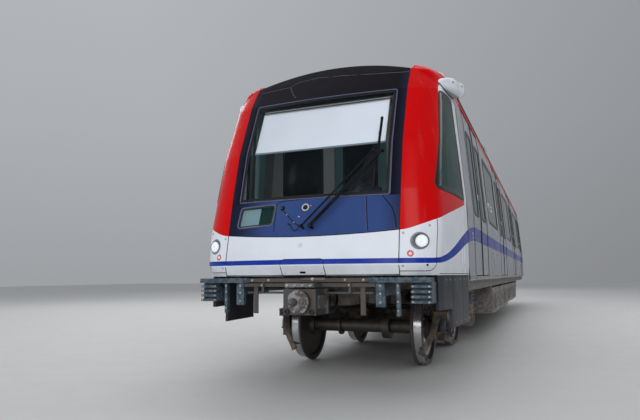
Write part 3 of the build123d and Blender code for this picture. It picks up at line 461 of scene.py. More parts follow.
def on_side(s, z, sd=1):
    for (xa, za), (xb, zb) in zip(BODY_SIDE, BODY_SIDE[1:]):
        if z <= zb or zb == BODY_SIDE[-1][1]:
            x = xa + (xb - xa) * (z - za) / (zb - za)
            n = Vector((zb - za, 0, xa - xb)).normalized()
            return Vector((sd * x, s - S_MID, z)), Vector((sd * n.x, 0, n.z))


# ------------------------------------------------------------------ mesh building
class Build:
    """Collects closed shells and makes one joined mesh of them."""

    def __init__(self):
        self.v, self.f, self.k = [], [], []

    def add(self, verts, faces, k=0):
        n = len(self.v)
        self.v += [tuple(v) for v in verts]
        self.f += [tuple(n + i for i in f) for f in faces]
        self.k += [k] * len(faces)

    def make(self, name, mats, body="car_body", slot=None, angle=34.0, smooth=True):
        me = bpy.data.meshes.new(name)
        me.from_pydata(self.v, [], self.f)
        for m in mats:
            me.materials.append(M[m])
        me.polygons.foreach_set("material_index", self.k)
        bm = bmesh.new()
        bm.from_mesh(me)
        bmesh.ops.recalc_face_normals(bm, faces=bm.faces)
        bm.to_mesh(me)
        bm.free()
        if smooth:
            me.polygons.foreach_set("use_smooth", [True] * len(me.polygons))
            me.set_sharp_from_angle(angle=math.radians(angle))
        me.update()
        o = bpy.data.objects.new(name, me)
        bpy.context.scene.collection.objects.link(o)
        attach(o, body)
        return o


def axes(n):
    n = n.normalized()
    a = UP.cross(n) if abs(n.z) < 0.9 else ACROSS.cross(n)
    a.normalize()
    return a, n.cross(a)


def lathe(B, o, n, prof, seg=20, k=0, arc=None):
    """Solid of revolution about n through o; prof is (radius, height) from one end to the other."""
    n = n.normalized()
    a, b = axes(n)
    verts, faces, rings = [], [], []
    for r, h in prof:
        if r < 1e-6:
            rings.append([len(verts)])
            verts.append(o + n * h)
        else:
            rings.append(list(range(len(verts), len(verts) + seg)))
            verts += [o + n * h + a * (r * math.cos(2 * math.pi * i / seg)) + b * (r * math.sin(2 * math.pi * i / seg)) for i in range(seg)]
    for p, q in zip(rings, rings[1:]):
        for i in range(seg):
            j = (i + 1) % seg
            if len(p) == 1 and len(q) == 1:
                continue
            if len(p) == 1:
                faces.append((p[0], q[j], q[i]))
            elif len(q) == 1:
                faces.append((p[i], p[j], q[0]))
            else:
                faces.append((p[i], p[j], q[j], q[i]))
    for ring in (rings[0], rings[-1]):
        if len(ring) > 1:
            faces.append(tuple(ring))
    B.add(verts, faces, k)


def cyl(B, p, q, r, seg=18, ch=None, k=0):
    d = q - p
    L = d.length
    ch = min(r, L) * 0.12 if ch is None else ch
    lathe(B, p, d, [(r - ch, 0), (r, ch), (r, L - ch), (r - ch, L)], seg, k)


def annulus(B, o, n, r0, r1, h0, h1, seg=28, k=0, ch=0.0015):
    """Flat ring, r0 inside and r1 outside, from h0 to h1 along n."""
    n = n.normalized()
    a, b = axes(n)
    prof = [(r0, h0), (r1, h0), (r1, h1 - ch), (r1 - ch, h1), (r0 + ch, h1), (r0, h1 - ch)]
    verts = [o + n * h + a * (r * math.cos(2 * math.pi * i / seg)) + b * (r * math.sin(2 * math.pi * i / seg)) for r, h in prof for i in range(seg)]
    m = len(prof)
    B.add(verts, [((j) * seg + i, j * seg + (i + 1) % seg, ((j + 1) % m) * seg + (i + 1) % seg, ((j + 1) % m) * seg + i) for j in range(m) for i in range(seg)], k)


def block(B, lo, hi, ch=0.004, k=0, mat=None):
    """Box with chamfered edges, turned by mat where given."""
    lo, hi = Vector(lo), Vector(hi)
    c, h = (lo + hi) / 2, (hi - lo) / 2
    ch = min(ch, h.x * 0.9, h.y * 0.9, h.z * 0.9)
    idx, verts = {}, []
    for sx in (-1, 1):
        for sy in (-1, 1):
            for sz in (-1, 1):
                for w in range(3):
                    q = Vector((sx * (h.x - (0 if w == 0 else ch)), sy * (h.y - (0 if w == 1 else ch)), sz * (h.z - (0 if w == 2 else ch))))
                    idx[(sx, sy, sz, w)] = len(verts)
                    verts.append(mat @ (c + q) if mat else c + q)
    g = lambda x, y, z, w: idx[(x, y, z, w)]
    faces = []
    for s in (-1, 1):
        faces.append([g(s, a, b, 0) for a, b in ((-1, -1), (1, -1), (1, 1), (-1, 1))])
        faces.append([g(a, s, b, 1) for a, b in ((-1, -1), (1, -1), (1, 1), (-1, 1))])
        faces.append([g(a, b, s, 2) for a, b in ((-1, -1), (1, -1), (1, 1), (-1, 1))])
        for t in (-1, 1):
            faces.append([g(s, t, -1, 0), g(s, t, 1, 0), g(s, t, 1, 1), g(s, t, -1, 1)])
            faces.append([g(s, -1, t, 0), g(s, 1, t, 0), g(s, 1, t, 2), g(s, -1, t, 2)])
            faces.append([g(-1, s, t, 1), g(1, s, t, 1), g(1, s, t, 2), g(-1, s, t, 2)])
            for u in (-1, 1):
                faces.append([g(s, t, u, 0), g(s, t, u, 1), g(s, t, u, 2)])
    B.add(verts, faces, k)


def bar(B, p, q, w, t, up=UP, ch=0.003, k=0):
    """Rectangular bar from p to q, w wide across and t thick along up."""
    d = (q - p).normalized()
    side = d.cross(up).normalized()
    top = side.cross(d)
    c = (p + q) / 2
    mat = Matrix(((d.x, side.x, top.x, c.x), (d.y, side.y, top.y, c.y), (d.z, side.z, top.z, c.z), (0, 0, 0, 1)))
    L = (q - p).length / 2
    block(B, (-L, -w / 2, -t / 2), (L, w / 2, t / 2), ch, k, mat)


def tube(B, pts, r, seg=8, k=0, closed=False):
    """Round tube along a run of points."""
    pts = [Vector(p) for p in pts]
    m = len(pts)
    tans = []
    for i in range(m):
        a = pts[(i - 1) % m] if closed or i else pts[0]
        b = pts[(i + 1) % m] if closed or i < m - 1 else pts[-1]
        tans.append((b - a).normalized())
    u, _ = axes(tans[0])
    verts = []
    for i in range(m):
        u = (u - tans[i] * u.dot(tans[i])).normalized()
        w = tans[i].cross(u)
        verts += [pts[i] + u * (r * math.cos(2 * math.pi * j / seg)) + w * (r * math.sin(2 * math.pi * j / seg)) for j in range(seg)]
    faces = []
    for i in range(m if closed else m - 1):
        p, q = i * seg, ((i + 1) % m) * seg
        faces += [(p + j, p + (j + 1) % seg, q + (j + 1) % seg, q + j) for j in range(seg)]
    if not closed:
        faces += [tuple(range(seg)), tuple(range((m - 1) * seg, m * seg))]
    B.add(verts, faces, k)


def smooth_line(pts, steps=6):
    """Points of a gentle curve through the given ones."""
    pts = [Vector(p) for p in pts]
    out = []
    for i in range(len(pts) - 1):
        p0, p1, p2, p3 = pts[max(i - 1, 0)], pts[i], pts[i + 1], pts[min(i + 2, len(pts) - 1)]
        for j in range(steps):
            t = j / steps
            out.append(0.5 * ((2 * p1) + (p2 - p0) * t + (2 * p0 - 5 * p1 + 4 * p2 - p3) * t * t + (3 * p1 - p0 - 3 * p2 + p3) * t ** 3))
    return out + [pts[-1]]


def ribbon(B, run, w, h, sink=0.002, closed=False, k=0, lean=0.0):
    """Strip w wide and h proud that lies on the skin along run, a list of (point, normal)."""
    run = [r for r in run if r is not None]
    m = len(run)
    if m < 2:
        return
    prof = [(-w / 2, -sink), (-w / 2, h * 0.5), (-w * 0.36, h), (w * 0.36, h), (w / 2, h * 0.5), (w / 2, -sink)]
    verts = []
    for i in range(m):
        p, nn = run[i]
        prev = run[i - 1] if (closed or i) else None
        nxt = run[(i + 1) % m] if (closed or i < m - 1) else None
        sides, cosh = [], 1.0
        for a, b in ((prev, run[i]), (run[i], nxt)):
            if a is None or b is None or (b[0] - a[0]).length < 1e-7:
                continue
            sides.append(nn.cross((b[0] - a[0]).normalized()).normalized())
        if len(sides) == 2:
            mid = (sides[0] + sides[1])
            if mid.length < 0.2:
                mid = sides[0]
            mid.normalize()
            cosh = max(0.5, mid.dot(sides[0]))
            side = mid / cosh
        else:
            side = sides[0] if sides else axes(nn)[0]
        verts += [p + side * (a + lean) + nn * t for a, t in prof]
    n, faces = len(prof), []
    for i in range(m if closed else m - 1):
        a, b = i * n, ((i + 1) % m) * n
        faces += [(a + j, a + (j + 1) % n, b + (j + 1) % n, b + j) for j in range(n)]
    if not closed:
        faces += [tuple(range(n)), tuple(range((m - 1) * n, m * n))]
    B.add(verts, faces, k)


def line2(a, b, step):
    n = max(1, int(math.ceil(math.dist(a, b) / step)))
    return [(a[0] + (b[0] - a[0]) * i / n, a[1] + (b[1] - a[1]) * i / n) for i in range(n + 1)]


def path2(points, step=0.1):
    out = []
    for a, b in zip(points, points[1:]):
        out += line2(a, b, step)[:-1]
    return out + [points[-1]]


def loop2(points, r, seg=6, step=0.12, grow=0.0):
    """Closed outline with rounded corners, moved outwards by grow, for a convex polygon given counterclockwise or clockwise."""
    m = len(points)
    cx, cy = sum(p[0] for p in points) / m, sum(p[1] for p in points) / m
    if grow:
        moved = []
        for i in range(m):
            a, p, b = points[i - 1], points[i], points[(i + 1) % m]
            n1 = (p[1] - a[1], a[0] - p[0])
            n2 = (b[1] - p[1], p[0] - b[0])
            l1, l2 = math.hypot(*n1), math.hypot(*n2)
            n1, n2 = (n1[0] / l1, n1[1] / l1), (n2[0] / l2, n2[1] / l2)
            if (p[0] - cx) * n1[0] + (p[1] - cy) * n1[1] < 0:
                n1, n2 = (-n1[0], -n1[1]), (-n2[0], -n2[1])
            d = 1 + n1[0] * n2[0] + n1[1] * n2[1]
            moved.append((p[0] + grow * (n1[0] + n2[0]) / d, p[1] + grow * (n1[1] + n2[1]) / d))
        points = moved
        r = max(0.002, r + grow)
    corners = []
    for i in range(m):
        a, p, b = points[i - 1], points[i], points[(i + 1) % m]
        u = ((a[0] - p[0]), (a[1] - p[1]))
        v = ((b[0] - p[0]), (b[1] - p[1]))
        lu, lv = math.hypot(*u), math.hypot(*v)
        u, v = (u[0] / lu, u[1] / lu), (v[0] / lv, v[1] / lv)
        ang = math.acos(max(-1, min(1, u[0] * v[0] + u[1] * v[1])))
        t = min(r / math.tan(ang / 2), lu * 0.45, lv * 0.45)
        rr = t * math.tan(ang / 2)
        bis = (u[0] + v[0], u[1] + v[1])
        lb = math.hypot(*bis)
        c = (p[0] + bis[0] / lb * rr / math.sin(ang / 2), p[1] + bis[1] / lb * rr / math.sin(ang / 2))
        s0, s1 = (p[0] + u[0] * t - c[0], p[1] + u[1] * t - c[1]), (p[0] + v[0] * t - c[0], p[1] + v[1] * t - c[1])
        a0, a1 = math.atan2(s0[1], s0[0]), math.atan2(s1[1], s1[0])
        da = (a1 - a0 + math.pi) % (2 * math.pi) - math.pi
        corners.append([(c[0] + rr * math.cos(a0 + da * j / seg), c[1] + rr * math.sin(a0 + da * j / seg)) for j in range(seg + 1)])
    out = []
    for i in range(m):
        out += corners[i]
        out += line2(corners[i][-1], corners[(i + 1) % m][0], step)[1:-1]
    return out


def rect(a0, b0, a1, b1):
    return [(a0, b0), (a1, b0), (a1, b1), (a0, b1)]


def plate(B, outline, place, h, ch=0.002, sink=0.002, k=0):
    """Thin plate of a small outline; place(a, b) gives point and normal."""
    cx, cy = sum(p[0] for p in outline) / len(outline), sum(p[1] for p in outline) / len(outline)
    rings = []
    for lift, inset in ((-sink, 0.0), (h - ch * 0.6, 0.0), (h, ch)):
        ring = []
        for a, b in outline:
            d = math.hypot(a - cx, b - cy) or 1.0
            hit = place(a + (cx - a) * inset / d, b + (cy - b) * inset / d)
            ring.append(hit[0] + hit[1] * lift)
        rings.append(ring)
    n = len(outline)
    verts = [v for ring in rings for v in ring]
    faces = [(i, (i + 1) % n, n + (i + 1) % n, n + i) for i in range(n)] + [(n + i, n + (i + 1) % n, 2 * n + (i + 1) % n, 2 * n + i) for i in range(n)]
    faces += [tuple(range(n)), tuple(range(2 * n, 3 * n))]
    B.add(verts, faces, k)


def screw(B, hit, r, k=0, proud=0.0025, seg=12):
    """Domed screw head with a hollow in it."""
    if hit is None:
        return
    p, n = hit
    lathe(B, p, n, [(r, -0.002), (r, proud * 0.4), (r * 0.8, proud), (r * 0.45, proud), (r * 0.40, proud * 0.35), (0, proud * 0.3)], seg, k)


def hexbolt(B, p, n, r, h=None, k=0):
    h = r * 0.8 if h is None else h
    lathe(B, p, n, [(r * 1.35, -0.001), (r * 1.35, r * 0.18), (r * 0.99, r * 0.18)], 14, k)
    lathe(B, p, n, [(r, 0), (r, h * 0.85), (r * 0.82, h), (0, h)], 6, k)


def coil(B, p, q, r, wire, turns, seg=6, k=0, per=16):
    d = q - p
    a, b = axes(d)
    n = int(turns * per)
    tube(B, [p + d * (i / n) + a * (r * math.cos(2 * math.pi * i / per)) + b * (r * math.sin(2 * math.pi * i / per)) for i in range(n + 1)], wire, seg, k)


BOTH = (1, -1)


def mask_low(x):
    return 1.487 - 0.043 * (1 - (x / 0.91) ** 2)


# ------------------------------------------------------------------ front of the cab: mask and windscreen
SCREEN = rect(-0.811, 1.829, 0.811, 2.982)
B = Build()
ribbon(B, [on_front(x, z) for x, z in loop2(SCREEN, 0.02, 5, 0.06)], 0.0105, 0.003, closed=True)
B.make("windscreen_trim", ["screen_line"], slot="black_mask")
B = Build()
ribbon(B, [on_front(x, z) for x, z in loop2(SCREEN, 0.02, 5, 0.06, grow=-0.022)], 0.022, 0.0016, closed=True, k=0)
ribbon(B, [on_front(x, z) for x, z in loop2(SCREEN, 0.02, 5, 0.06, grow=-0.035)], 0.003, 0.0020, closed=True, k=1)
B.make("windscreen_seal", ["dark", "rubber"], slot="rubber")

EQUIP = [(-0.800, 1.559), (-0.383, 1.578), (-0.361, 1.780), (-0.773, 1.766)]
B = Build()
ribbon(B, [on_front(x, z) for x, z in loop2(EQUIP, 0.03, 5, 0.05, grow=0.006)], 0.013, 0.004, closed=True, k=0)
ribbon(B, [on_front(x, z) for x, z in loop2(EQUIP, 0.03, 5, 0.05, grow=-0.010)], 0.010, 0.002, closed=True, k=1)
B.make("equipment_window_trim", ["screen_line", "rubber"], slot="black_mask")

B = Build()
SEAM_TOP = [(262.5, 94), (276, 90.6), (291, 87.5), (293.5, 85.6), (298, 83), (318, 78), (345, 75.6), (372, 74), (392, 72.7), (409.5, 71.7)]
ribbon(B, [on_pixel(u, v) for u, v in SEAM_TOP], 0.007, 0.0012, k=0)
ribbon(B, [on_pixel(u, v) for u, v in ((290.8, 87.5), (291.6, 91.0), (293.4, 95.0), (295.8, 98.2))], 0.008, 0.0012, k=1)
ribbon(B, [on_pixel(u, v) for u, v in ((304.9, 100.5), (305.5, 104.3))], 0.005, 0.0012, k=1)
B.make("mask_upper_seams", ["soft_line", "guard"], slot="black_mask")

B = Build()
PANEL_SEAM = [(273.6, 231.4), (274.4, 224), (276.0, 212), (277.2, 205), (279.4, 202.6), (284, 201.3), (300, 199.6), (322, 197.4), (345, 195.9), (365, 194.7), (381.6, 194.0)]
ribbon(B, [on_pixel(u, v) for u, v in PANEL_SEAM], 0.008, 0.0014, k=0)
ribbon(B, [on_pixel(u, v) for u, v in ((381.6, 194.2), (386, 199.5), (392.3, 207.6), (395.0, 216), (396.4, 227.5))], 0.012, 0.0014, k=0)
ribbon(B, [on_pixel(u, v) for u, v in ((364.9, 195), (365.3, 205), (365.8, 218), (366.3, 230.6))], 0.004, 0.0014, k=1)
ribbon(B, [on_pixel(u, v) for u, v in ((366.1, 195), (366.5, 205), (367.0, 218), (367.5, 230.6))], 0.008, 0.0012, k=0)
for x in (-0.30, 0.05, 0.32, 0.62):
    screw(B, on_front(x, mask_low(x) + 0.024), 0.006, k=2)
for x in (-0.885, 0.885):
    for z in (1.56, 1.72, 1.95, 2.25, 2.55, 2.85):
        screw(B, on_front(x, z), 0.0055, k=2)
B.make("mask_lower_seams", ["seam", "screen_line", "dark"], slot="black_mask")

# edge where the mask meets the red corners and the white bumper
B = Build()
for sd in BOTH:
    ribbon(B, [on_front(sd * 0.9095, z) for z in [1.487 + 0.06 * i for i in range(30)]], 0.007, 0.0012, k=0)
ribbon(B, [on_front(-0.905 + 1.81 * i / 40, mask_low(-0.905 + 1.81 * i / 40)) for i in range(41)], 0.008, 0.0012, k=0)
B.make("mask_border", ["seam"], slot="rubber")

# round lock with a white ring, small blank mark and screw
B = Build()
p, n = on_front(-0.024, 1.737)
annulus(B, p, n, 0.026, 0.040, -0.002, 0.005, 36, k=0)
lathe(B, p, n, [(0.026, -0.002), (0.026, 0.0015), (0.017, 0.0015), (0.015, 0.006), (0.009, 0.0075), (0.004, 0.006), (0, 0.004)], 28, k=1)
for a in (0.6, 2.2, 3.8, 5.2):
    q = on_front(-0.024 + 0.033 * math.cos(a), 1.737 + 0.033 * math.sin(a))
    screw(B, (q[0] + q[1] * 0.0045, q[1]), 0.0028, k=1, proud=0.0015, seg=8)
screw(B, on_front(0.032, 1.752), 0.006, k=0)
plate(B, loop2(rect(-0.094, 1.640, -0.074, 1.650), 0.003, 3), on_front, 0.0012, 0.0005, k=0)
B.make("mask_lock", ["plate", "dark"], slot="black_mask")

# washer nozzle with its hose, clipped to the mask
B = Build()
p, n = on_front(-0.2745, 1.740)
lathe(B, p, n, [(0.026, -0.002), (0.026, 0.003), (0.021, 0.006), (0.019, 0.016), (0.014, 0.021), (0.008, 0.022), (0, 0.020)], 24, k=0)
lathe(B, p + n * 0.012, (n - UP * 0.5), [(0.005, 0), (0.005, 0.016), (0.003, 0.020), (0, 0.020)], 12, k=1)
run = [on_pixel(u, v) for u, v in ((283.6, 210.6), (285.6, 213.2), (289.2, 217.3), (293.0, 221.6), (296.0, 224.0), (298.6, 225.4))]
tube(B, smooth_line([a + b * (0.010 if i == 0 else 0.006) for i, (a, b) in enumerate(run)]), 0.0038, 8, k=0)
run = [on_pixel(u, v) for u, v in ((288.6, 224.3), (290.4, 224.9), (291.3, 227.4), (293.2, 230.2), (295.6, 230.9), (297.6, 229.0), (298.6, 226.0))]
tube(B, smooth_line([a + b * 0.006 for a, b in run]), 0.0036, 8, k=0)
a, b = on_pixel(288.6, 224.3)
lathe(B, a, b, [(0.009, -0.002), (0.009, 0.008), (0.006, 0.011), (0, 0.011)], 14, k=0)
for u, v in ((287.0, 215.0), (294.2, 222.7)):
    a, b = on_pixel(u, v)
    lathe(B, a, b, [(0.008, -0.001), (0.008, 0.009), (0.005, 0.0115), (0, 0.0115)], 10, k=1)
B.make("washer_hose", ["dark", "bolt"], slot="rubber")

# what shows behind the small equipment window; its pale panel glows though it is no lamp: painted light
B = Build()
for x0, x1, k in ((-0.815, -0.570, 0), (-0.540, -0.400, 1)):
    q = [on_front(x, z) for x, z in ((x0, 1.572), (x1, 1.582), (x1 + 0.012, 1.768), (x0 + 0.020, 1.760))]
    q = [a - b * 0.040 for a, b in q]
    d = Vector((0, 0.006, 0))
    B.add(q + [a + d for a in q], [(0, 1, 2, 3), (4, 5, 6, 7), (0, 1, 5, 4), (1, 2, 6, 5), (2, 3, 7, 6), (3, 0, 4, 7)], k)
B.make("equipment_panel", ["glowing_paper", "dark"], slot="interior_white")

# ------------------------------------------------------------------ bumper, hatch, lamps
B = Build()
for sd in BOTH:
    ribbon(B, [on_front(sd * 0.9095, 1.066 + 0.03 * i) for i in range(15)], 0.0085, 0.0012, k=0)
    ribbon(B, [on_front(sd * x, z) for x, z in path2([(0.912, 1.104), (1.122, 1.104)], 0.03)], 0.007, 0.0012, k=0)
    seam = [(0.264, 1.104), (0.288, 1.105), (0.306, 1.111), (0.319, 1.125), (0.326, 1.149), (0.331, 1.217), (0.354, 1.401), (0.371, 1.495), (0.389, 1.585)]
    ribbon(B, [on_cab_side(s, z, sd) for s, z in path2(seam, 0.02)], 0.007, 0.0012, k=0)
hatch_top = [(-0.2245 + 0.040 * (1 - math.cos(a)), 1.1845 + 0.040 * math.sin(a)) for a in [math.pi / 12 * i for i in range(7)]]
HATCH = [(-0.2245, 1.069)] + hatch_top + [(-x, z) for x, z in hatch_top[::-1]] + [(0.2245, 1.069)]
ribbon(B, [on_front(x, z) for x, z in path2(HATCH, 0.04)], 0.008, 0.001, k=0)
ribbon(B, [on_front(-0.905 + 1.81 * i / 40, 1.0715) for i in range(41)], 0.010, 0.0015, k=1)
B.make("bumper_seams", ["seam", "rubber"], slot="rubber")

B = Build()
p, n = on_pixel(300.1, 245.3)
annulus(B, p, n, 0.017, 0.022, -0.001, 0.0012, 24, k=0)
screw(B, (p, n), 0.006, k=1)
for sd in BOTH:
    for x, z in ((0.945, 1.452), (1.168, 1.520), (0.945, 1.150), (1.150, 1.158)):
        hit = on_front(sd * x, z)
        lathe(B, hit[0], hit[1], [(0.0105, -0.002), (0.0105, 0.001), (0.007, 0.0016), (0.0065, -0.001), (0, -0.001)], 14, k=2)
B.make("bumper_fittings", ["plate", "bolt", "dark"], slot="stainless")
B = Build()
for x in (-0.190, 0.190):
    screw(B, on_front(x, 1.093), 0.0065, k=0)
hit = on_front(0.0, 1.100)
plate(B, loop2(rect(-0.030, 1.090, 0.030, 1.108), 0.006, 4), on_front, 0.0025, 0.001, k=1)
B.make("hatch_fasteners", ["bolt", "dark"], body="hatch", slot="stainless")

HEAD, TAIL = (1.089, 1.378, 0.066), (1.009, 1.262, 0.022)


def lamp_axis(x, z, r, sd):
    """Centre of the lamp's opening and the panel's own direction there."""
    hits = [on_front(sd * (x + r * 1.25 * math.cos(a)), z + r * 1.25 * math.sin(a)) for a in [k * math.pi / 4 for k in range(8)]]
    c = sum((h[0] for h in hits), Vector()) / 8
    n = sum((h[1] for h in hits), Vector()).normalized()
    return c, n


B, L = Build(), Build()
for sd in BOTH:
    c, n = lamp_axis(*HEAD, sd)
    rim = [on_front(sd * (HEAD[0] - 0.002 + (HEAD[2] + 0.006) * math.cos(a)), HEAD[1] + (HEAD[2] + 0.006) * math.sin(a)) for a in [2 * math.pi * i / 40 for i in range(40)]]
    ribbon(B, rim, 0.018, 0.004, closed=True, k=0)
    # dish in the opening, then the round frosted lens set towards the outer side
    out = (Vector((sd, 0, 0)) - n * n.x * sd).normalized()
    lathe(B, c - n * 0.020, n, [(0.064, 0.0), (0.0655, 0.015), (0.061, 0.016), (0.052, 0.006), (0.040, 0.002), (0.0, 0.001)], 40, k=0)
    e = c + out * 0.0165 - n * 0.002
    f = (n * 0.45 - ALONG * 0.55).normalized()
    annulus(B, e, f, 0.0580, 0.0620, -0.020, 0.008, 44, k=2)
    lathe(B, e - f * 0.010, f, [(0.0582, 0.0), (0.0582, 0.012), (0.055, 0.016), (0.045, 0.021), (0.026, 0.025), (0.0, 0.026)], 44, k=4)
    for j in range(5):
        annulus(B, e, f, 0.010 + 0.0100 * j, 0.0117 + 0.0100 * j, 0.008 - 0.0012 * j, 0.0165 - 0.0020 * j, 40, k=3, ch=0.0005)
    for j in range(3):
        screw(B, (e + axes(f)[0] * (0.0645 * math.cos(2.1 * j + 0.8)) + axes(f)[1] * (0.0645 * math.sin(2.1 * j + 0.8)) - f * 0.014, f), 0.0025, k=2, seg=8)
    c, n = lamp_axis(*TAIL, sd)
    annulus(B, c, n, 0.021, 0.030, -0.006, 0.004, 32, k=0)
    lathe(B, c, n, [(0.0125, -0.004), (0.0125, 0.0040), (0.009, 0.0062), (0.0, 0.0070)], 26, k=6)
    for j in range(2):
        annulus(B, c, n, 0.0140 + 0.0035 * j, 0.0158 + 0.0035 * j, -0.004, 0.0034, 28, k=5, ch=0.0006)
B.make("lamp_fittings", ["bezel", "reflector", "lens_rim", "plate", "bulb", "red_lens", "red_core"], slot="lamp_glass")

# ------------------------------------------------------------------ camera pods
POD = [(0.944, 1.206, 3.072, 3.106), (0.990, 1.248, 3.048, 3.142), (1.080, 1.298, 3.034, 3.176), (1.230, 1.342, 3.038, 3.204),
       (1.400, 1.376, 3.054, 3.222), (1.478, 1.388, 3.064, 3.224), (1.502, 1.372, 3.080, 3.210)]


def pod_at(s, j):
    for a, b in zip(POD, POD[1:]):
        if s <= b[0]:
            return a[j] + (b[j] - a[j]) * (s - a[0]) / (b[0] - a[0])
    return POD[-1][j]


B = Build()
for sd in BOTH:
    for s, z in ((1.115, 3.130), (1.385, 3.160)):
        hit = drape(PODS, P(sd * 2.2, s, z), Vector((-sd, 0, 0)))
        if hit:
            lathe(B, hit[0], hit[1], [(0.0135, -0.003), (0.0135, 0.001), (0.0105, 0.002), (0.010, -0.002), (0, -0.002)], 18, k=0)
            lathe(B, hit[0], hit[1], [(0.007, -0.003), (0.007, 0.0006), (0.004, 0.0014), (0, 0.0016)], 14, k=3)
    under = [drape(CAB_SIDE, P(sd * 3.0, s, pod_at(s, 2) - 0.004), Vector((-sd, 0, 0))) for s in [0.930 + 0.0286 * i for i in range(21)]]
    ribbon(B, under, 0.011, 0.008, k=1)
    over = [drape(CAB_SIDE, P(sd * 3.0, s, min(3.245, pod_at(s, 3) + 0.004)), Vector((-sd, 0, 0))) for s in [0.950 + 0.0276 * i for i in range(20)]]
    ribbon(B, over, 0.008, 0.004, k=1)
    # cover joint round the pod near its rear end and four screws
    s = 1.440
    cx, cz = 1.26, 3.140
    joint = []
    for i in range(28):
        a = math.pi * (-0.56 + 1.12 * i / 27)
        d = Vector((sd * math.cos(a), 0.0, math.sin(a)))
        hit = drape(PODS, P(sd * cx, s, cz) + d * 0.5, -d)
        if hit and abs(hit[0].y - (s - S_MID)) < 0.02:
            joint.append(hit)
    ribbon(B, joint, 0.004, 0.0010, k=2)
    for s, z in ((1.03, 3.110), (1.30, 3.080), (1.30, 3.185), (1.475, 3.10)):
        hit = drape(PODS, P(sd * 2.2, s, z), Vector((-sd, 0, 0)))
        if hit:
            screw(B, hit, 0.0045, k=4, proud=0.0012, seg=10)
B.make("pod_details", ["lens_rim", "rubber", "seam", "dark", "plate"], slot="white_paint")

# ------------------------------------------------------------------ cab side windows and joints
CAB_WIN = [(0.876, 2.970), (1.288, 2.988), (1.360, 1.873), (0.449, 1.888)]
B = Build()
for sd in BOTH:
    ribbon(B, [on_cab_side(s, z, sd) for s, z in loop2(CAB_WIN, 0.045, 6, 0.05, grow=0.004)], 0.016, 0.004, closed=True, k=0)
    ribbon(B, [on_cab_side(s, z, sd) for s, z in loop2(CAB_WIN, 0.045, 6, 0.05, grow=-0.026)], 0.046, 0.0016, closed=True, k=1)
B.make("cab_window_frames", ["rubber", "frit"], slot="rubber")
B = Build()
for sd in BOTH:
    run = [on_side(1.552, z, sd) for z in [1.0 + 0.1 * i for i in range(22)] + [3.20, 3.268]]
    ribbon(B, run, 0.016, 0.0016, k=0)
    for z in (1.10, 1.75):
        screw(B, on_cab_side(1.46, z, sd), 0.007, k=1)
    run = [on_cab_side(s, 1.078, sd) for s in [0.42 + 0.05 * i for i in range(23)]]
    ribbon(B, run, 0.006, 0.0012, k=0)
    plate(B, loop2(rect(1.26, 1.105, 1.42, 1.150), 0.006, 3), lambda s, z: on_cab_side(s, z, sd), 0.0012, 0.0005, k=2)
B.make("cab_side_seams", ["seam", "bolt", "plain_white"], slot="rubber")

# ------------------------------------------------------------------ saloon sides
DOORS = [(2.170, 3.790), (6.320, 7.940), (10.470, 12.090), (14.620, 16.240)]
WINDOWS = [(4.210, 5.890), (8.360, 10.040), (12.510, 14.190)]
ZS = [1.05, 1.2, 1.4, 1.6, 1.8, 1.95, 2.1, 2.3, 2.5, 2.7, 2.85, 2.95, 3.05, 3.14]

B = Build()
for sd in BOTH:
    place = lambda s, z: on_side(s, z, sd)
    for a, b in WINDOWS:
        ribbon(B, [place(*q) for q in loop2(rect(a, 1.88, b, 2.90), 0.09, 7, 0.25, grow=0.004)], 0.026, 0.005, closed=True, k=0)
        ribbon(B, [place(*q) for q in loop2(rect(a, 1.88, b, 2.90), 0.09, 7, 0.25, grow=-0.022)], 0.034, 0.0022, closed=True, k=1, lean=0.0)
B.make("saloon_window_seals", ["rubber", "frit"], slot="rubber")

B, G = Build(), Build()
for sd in BOTH:
    place = lambda s, z: on_side(s, z, sd)
    for d0, d1 in DOORS:
        mid = (d0 + d1) / 2
        for lead in (0, 1):
            w0 = d0 + 0.005 + 0.123 if lead == 0 else d1 - 0.005 - 0.123 - 0.469
            loop = rect(w0, 1.82, w0 + 0.469, 2.89)
            ribbon(B, [place(*q) for q in loop2(loop, 0.06, 6, 0.3, grow=0.002)], 0.020, 0.003, closed=True, k=0)
            ribbon(B, [place(*q) for q in loop2(loop, 0.06, 6, 0.3, grow=-0.018)], 0.026, 0.0014, closed=True, k=1)
        for ds in (-0.016, 0.016):
            ribbon(B, [place(mid + ds, z) for z in ZS], 0.026, 0.007, k=0)
        for s in (d0 + 0.002, d1 - 0.002):
            ribbon(B, [place(s, z) for z in ZS], 0.013, 0.002, k=2)
        for z in (1.054, 3.138):
            ribbon(B, [place(s, z) for s in (d0, mid, d1)], 0.012, 0.002, k=2)
        # gutter over the doorway
        ribbon(G, [place(s, 3.172) for s in (d0 - 0.06, mid, d1 + 0.06)], 0.016, 0.014, k=0)
        # threshold strip under the leaves
        ribbon(G, [place(s, 1.026) for s in (d0 - 0.01, mid, d1 + 0.01)], 0.036, 0.012, k=1)
        for i in range(18):
            s = d0 + 0.05 + (d1 - d0 - 0.10) * i / 17
            q, n = place(s, 1.026)
            bar(G, q + n * 0.012 - ALONG * 0.02, q + n * 0.012 + ALONG * 0.02, 0.006, 0.002, up=n, ch=0.0008, k=1)
B.make("door_seals", ["rubber", "frit", "seam"], slot="rubber")
G.make("door_portal_trim", ["side_livery_painted_shade", "sill"], slot="stainless")

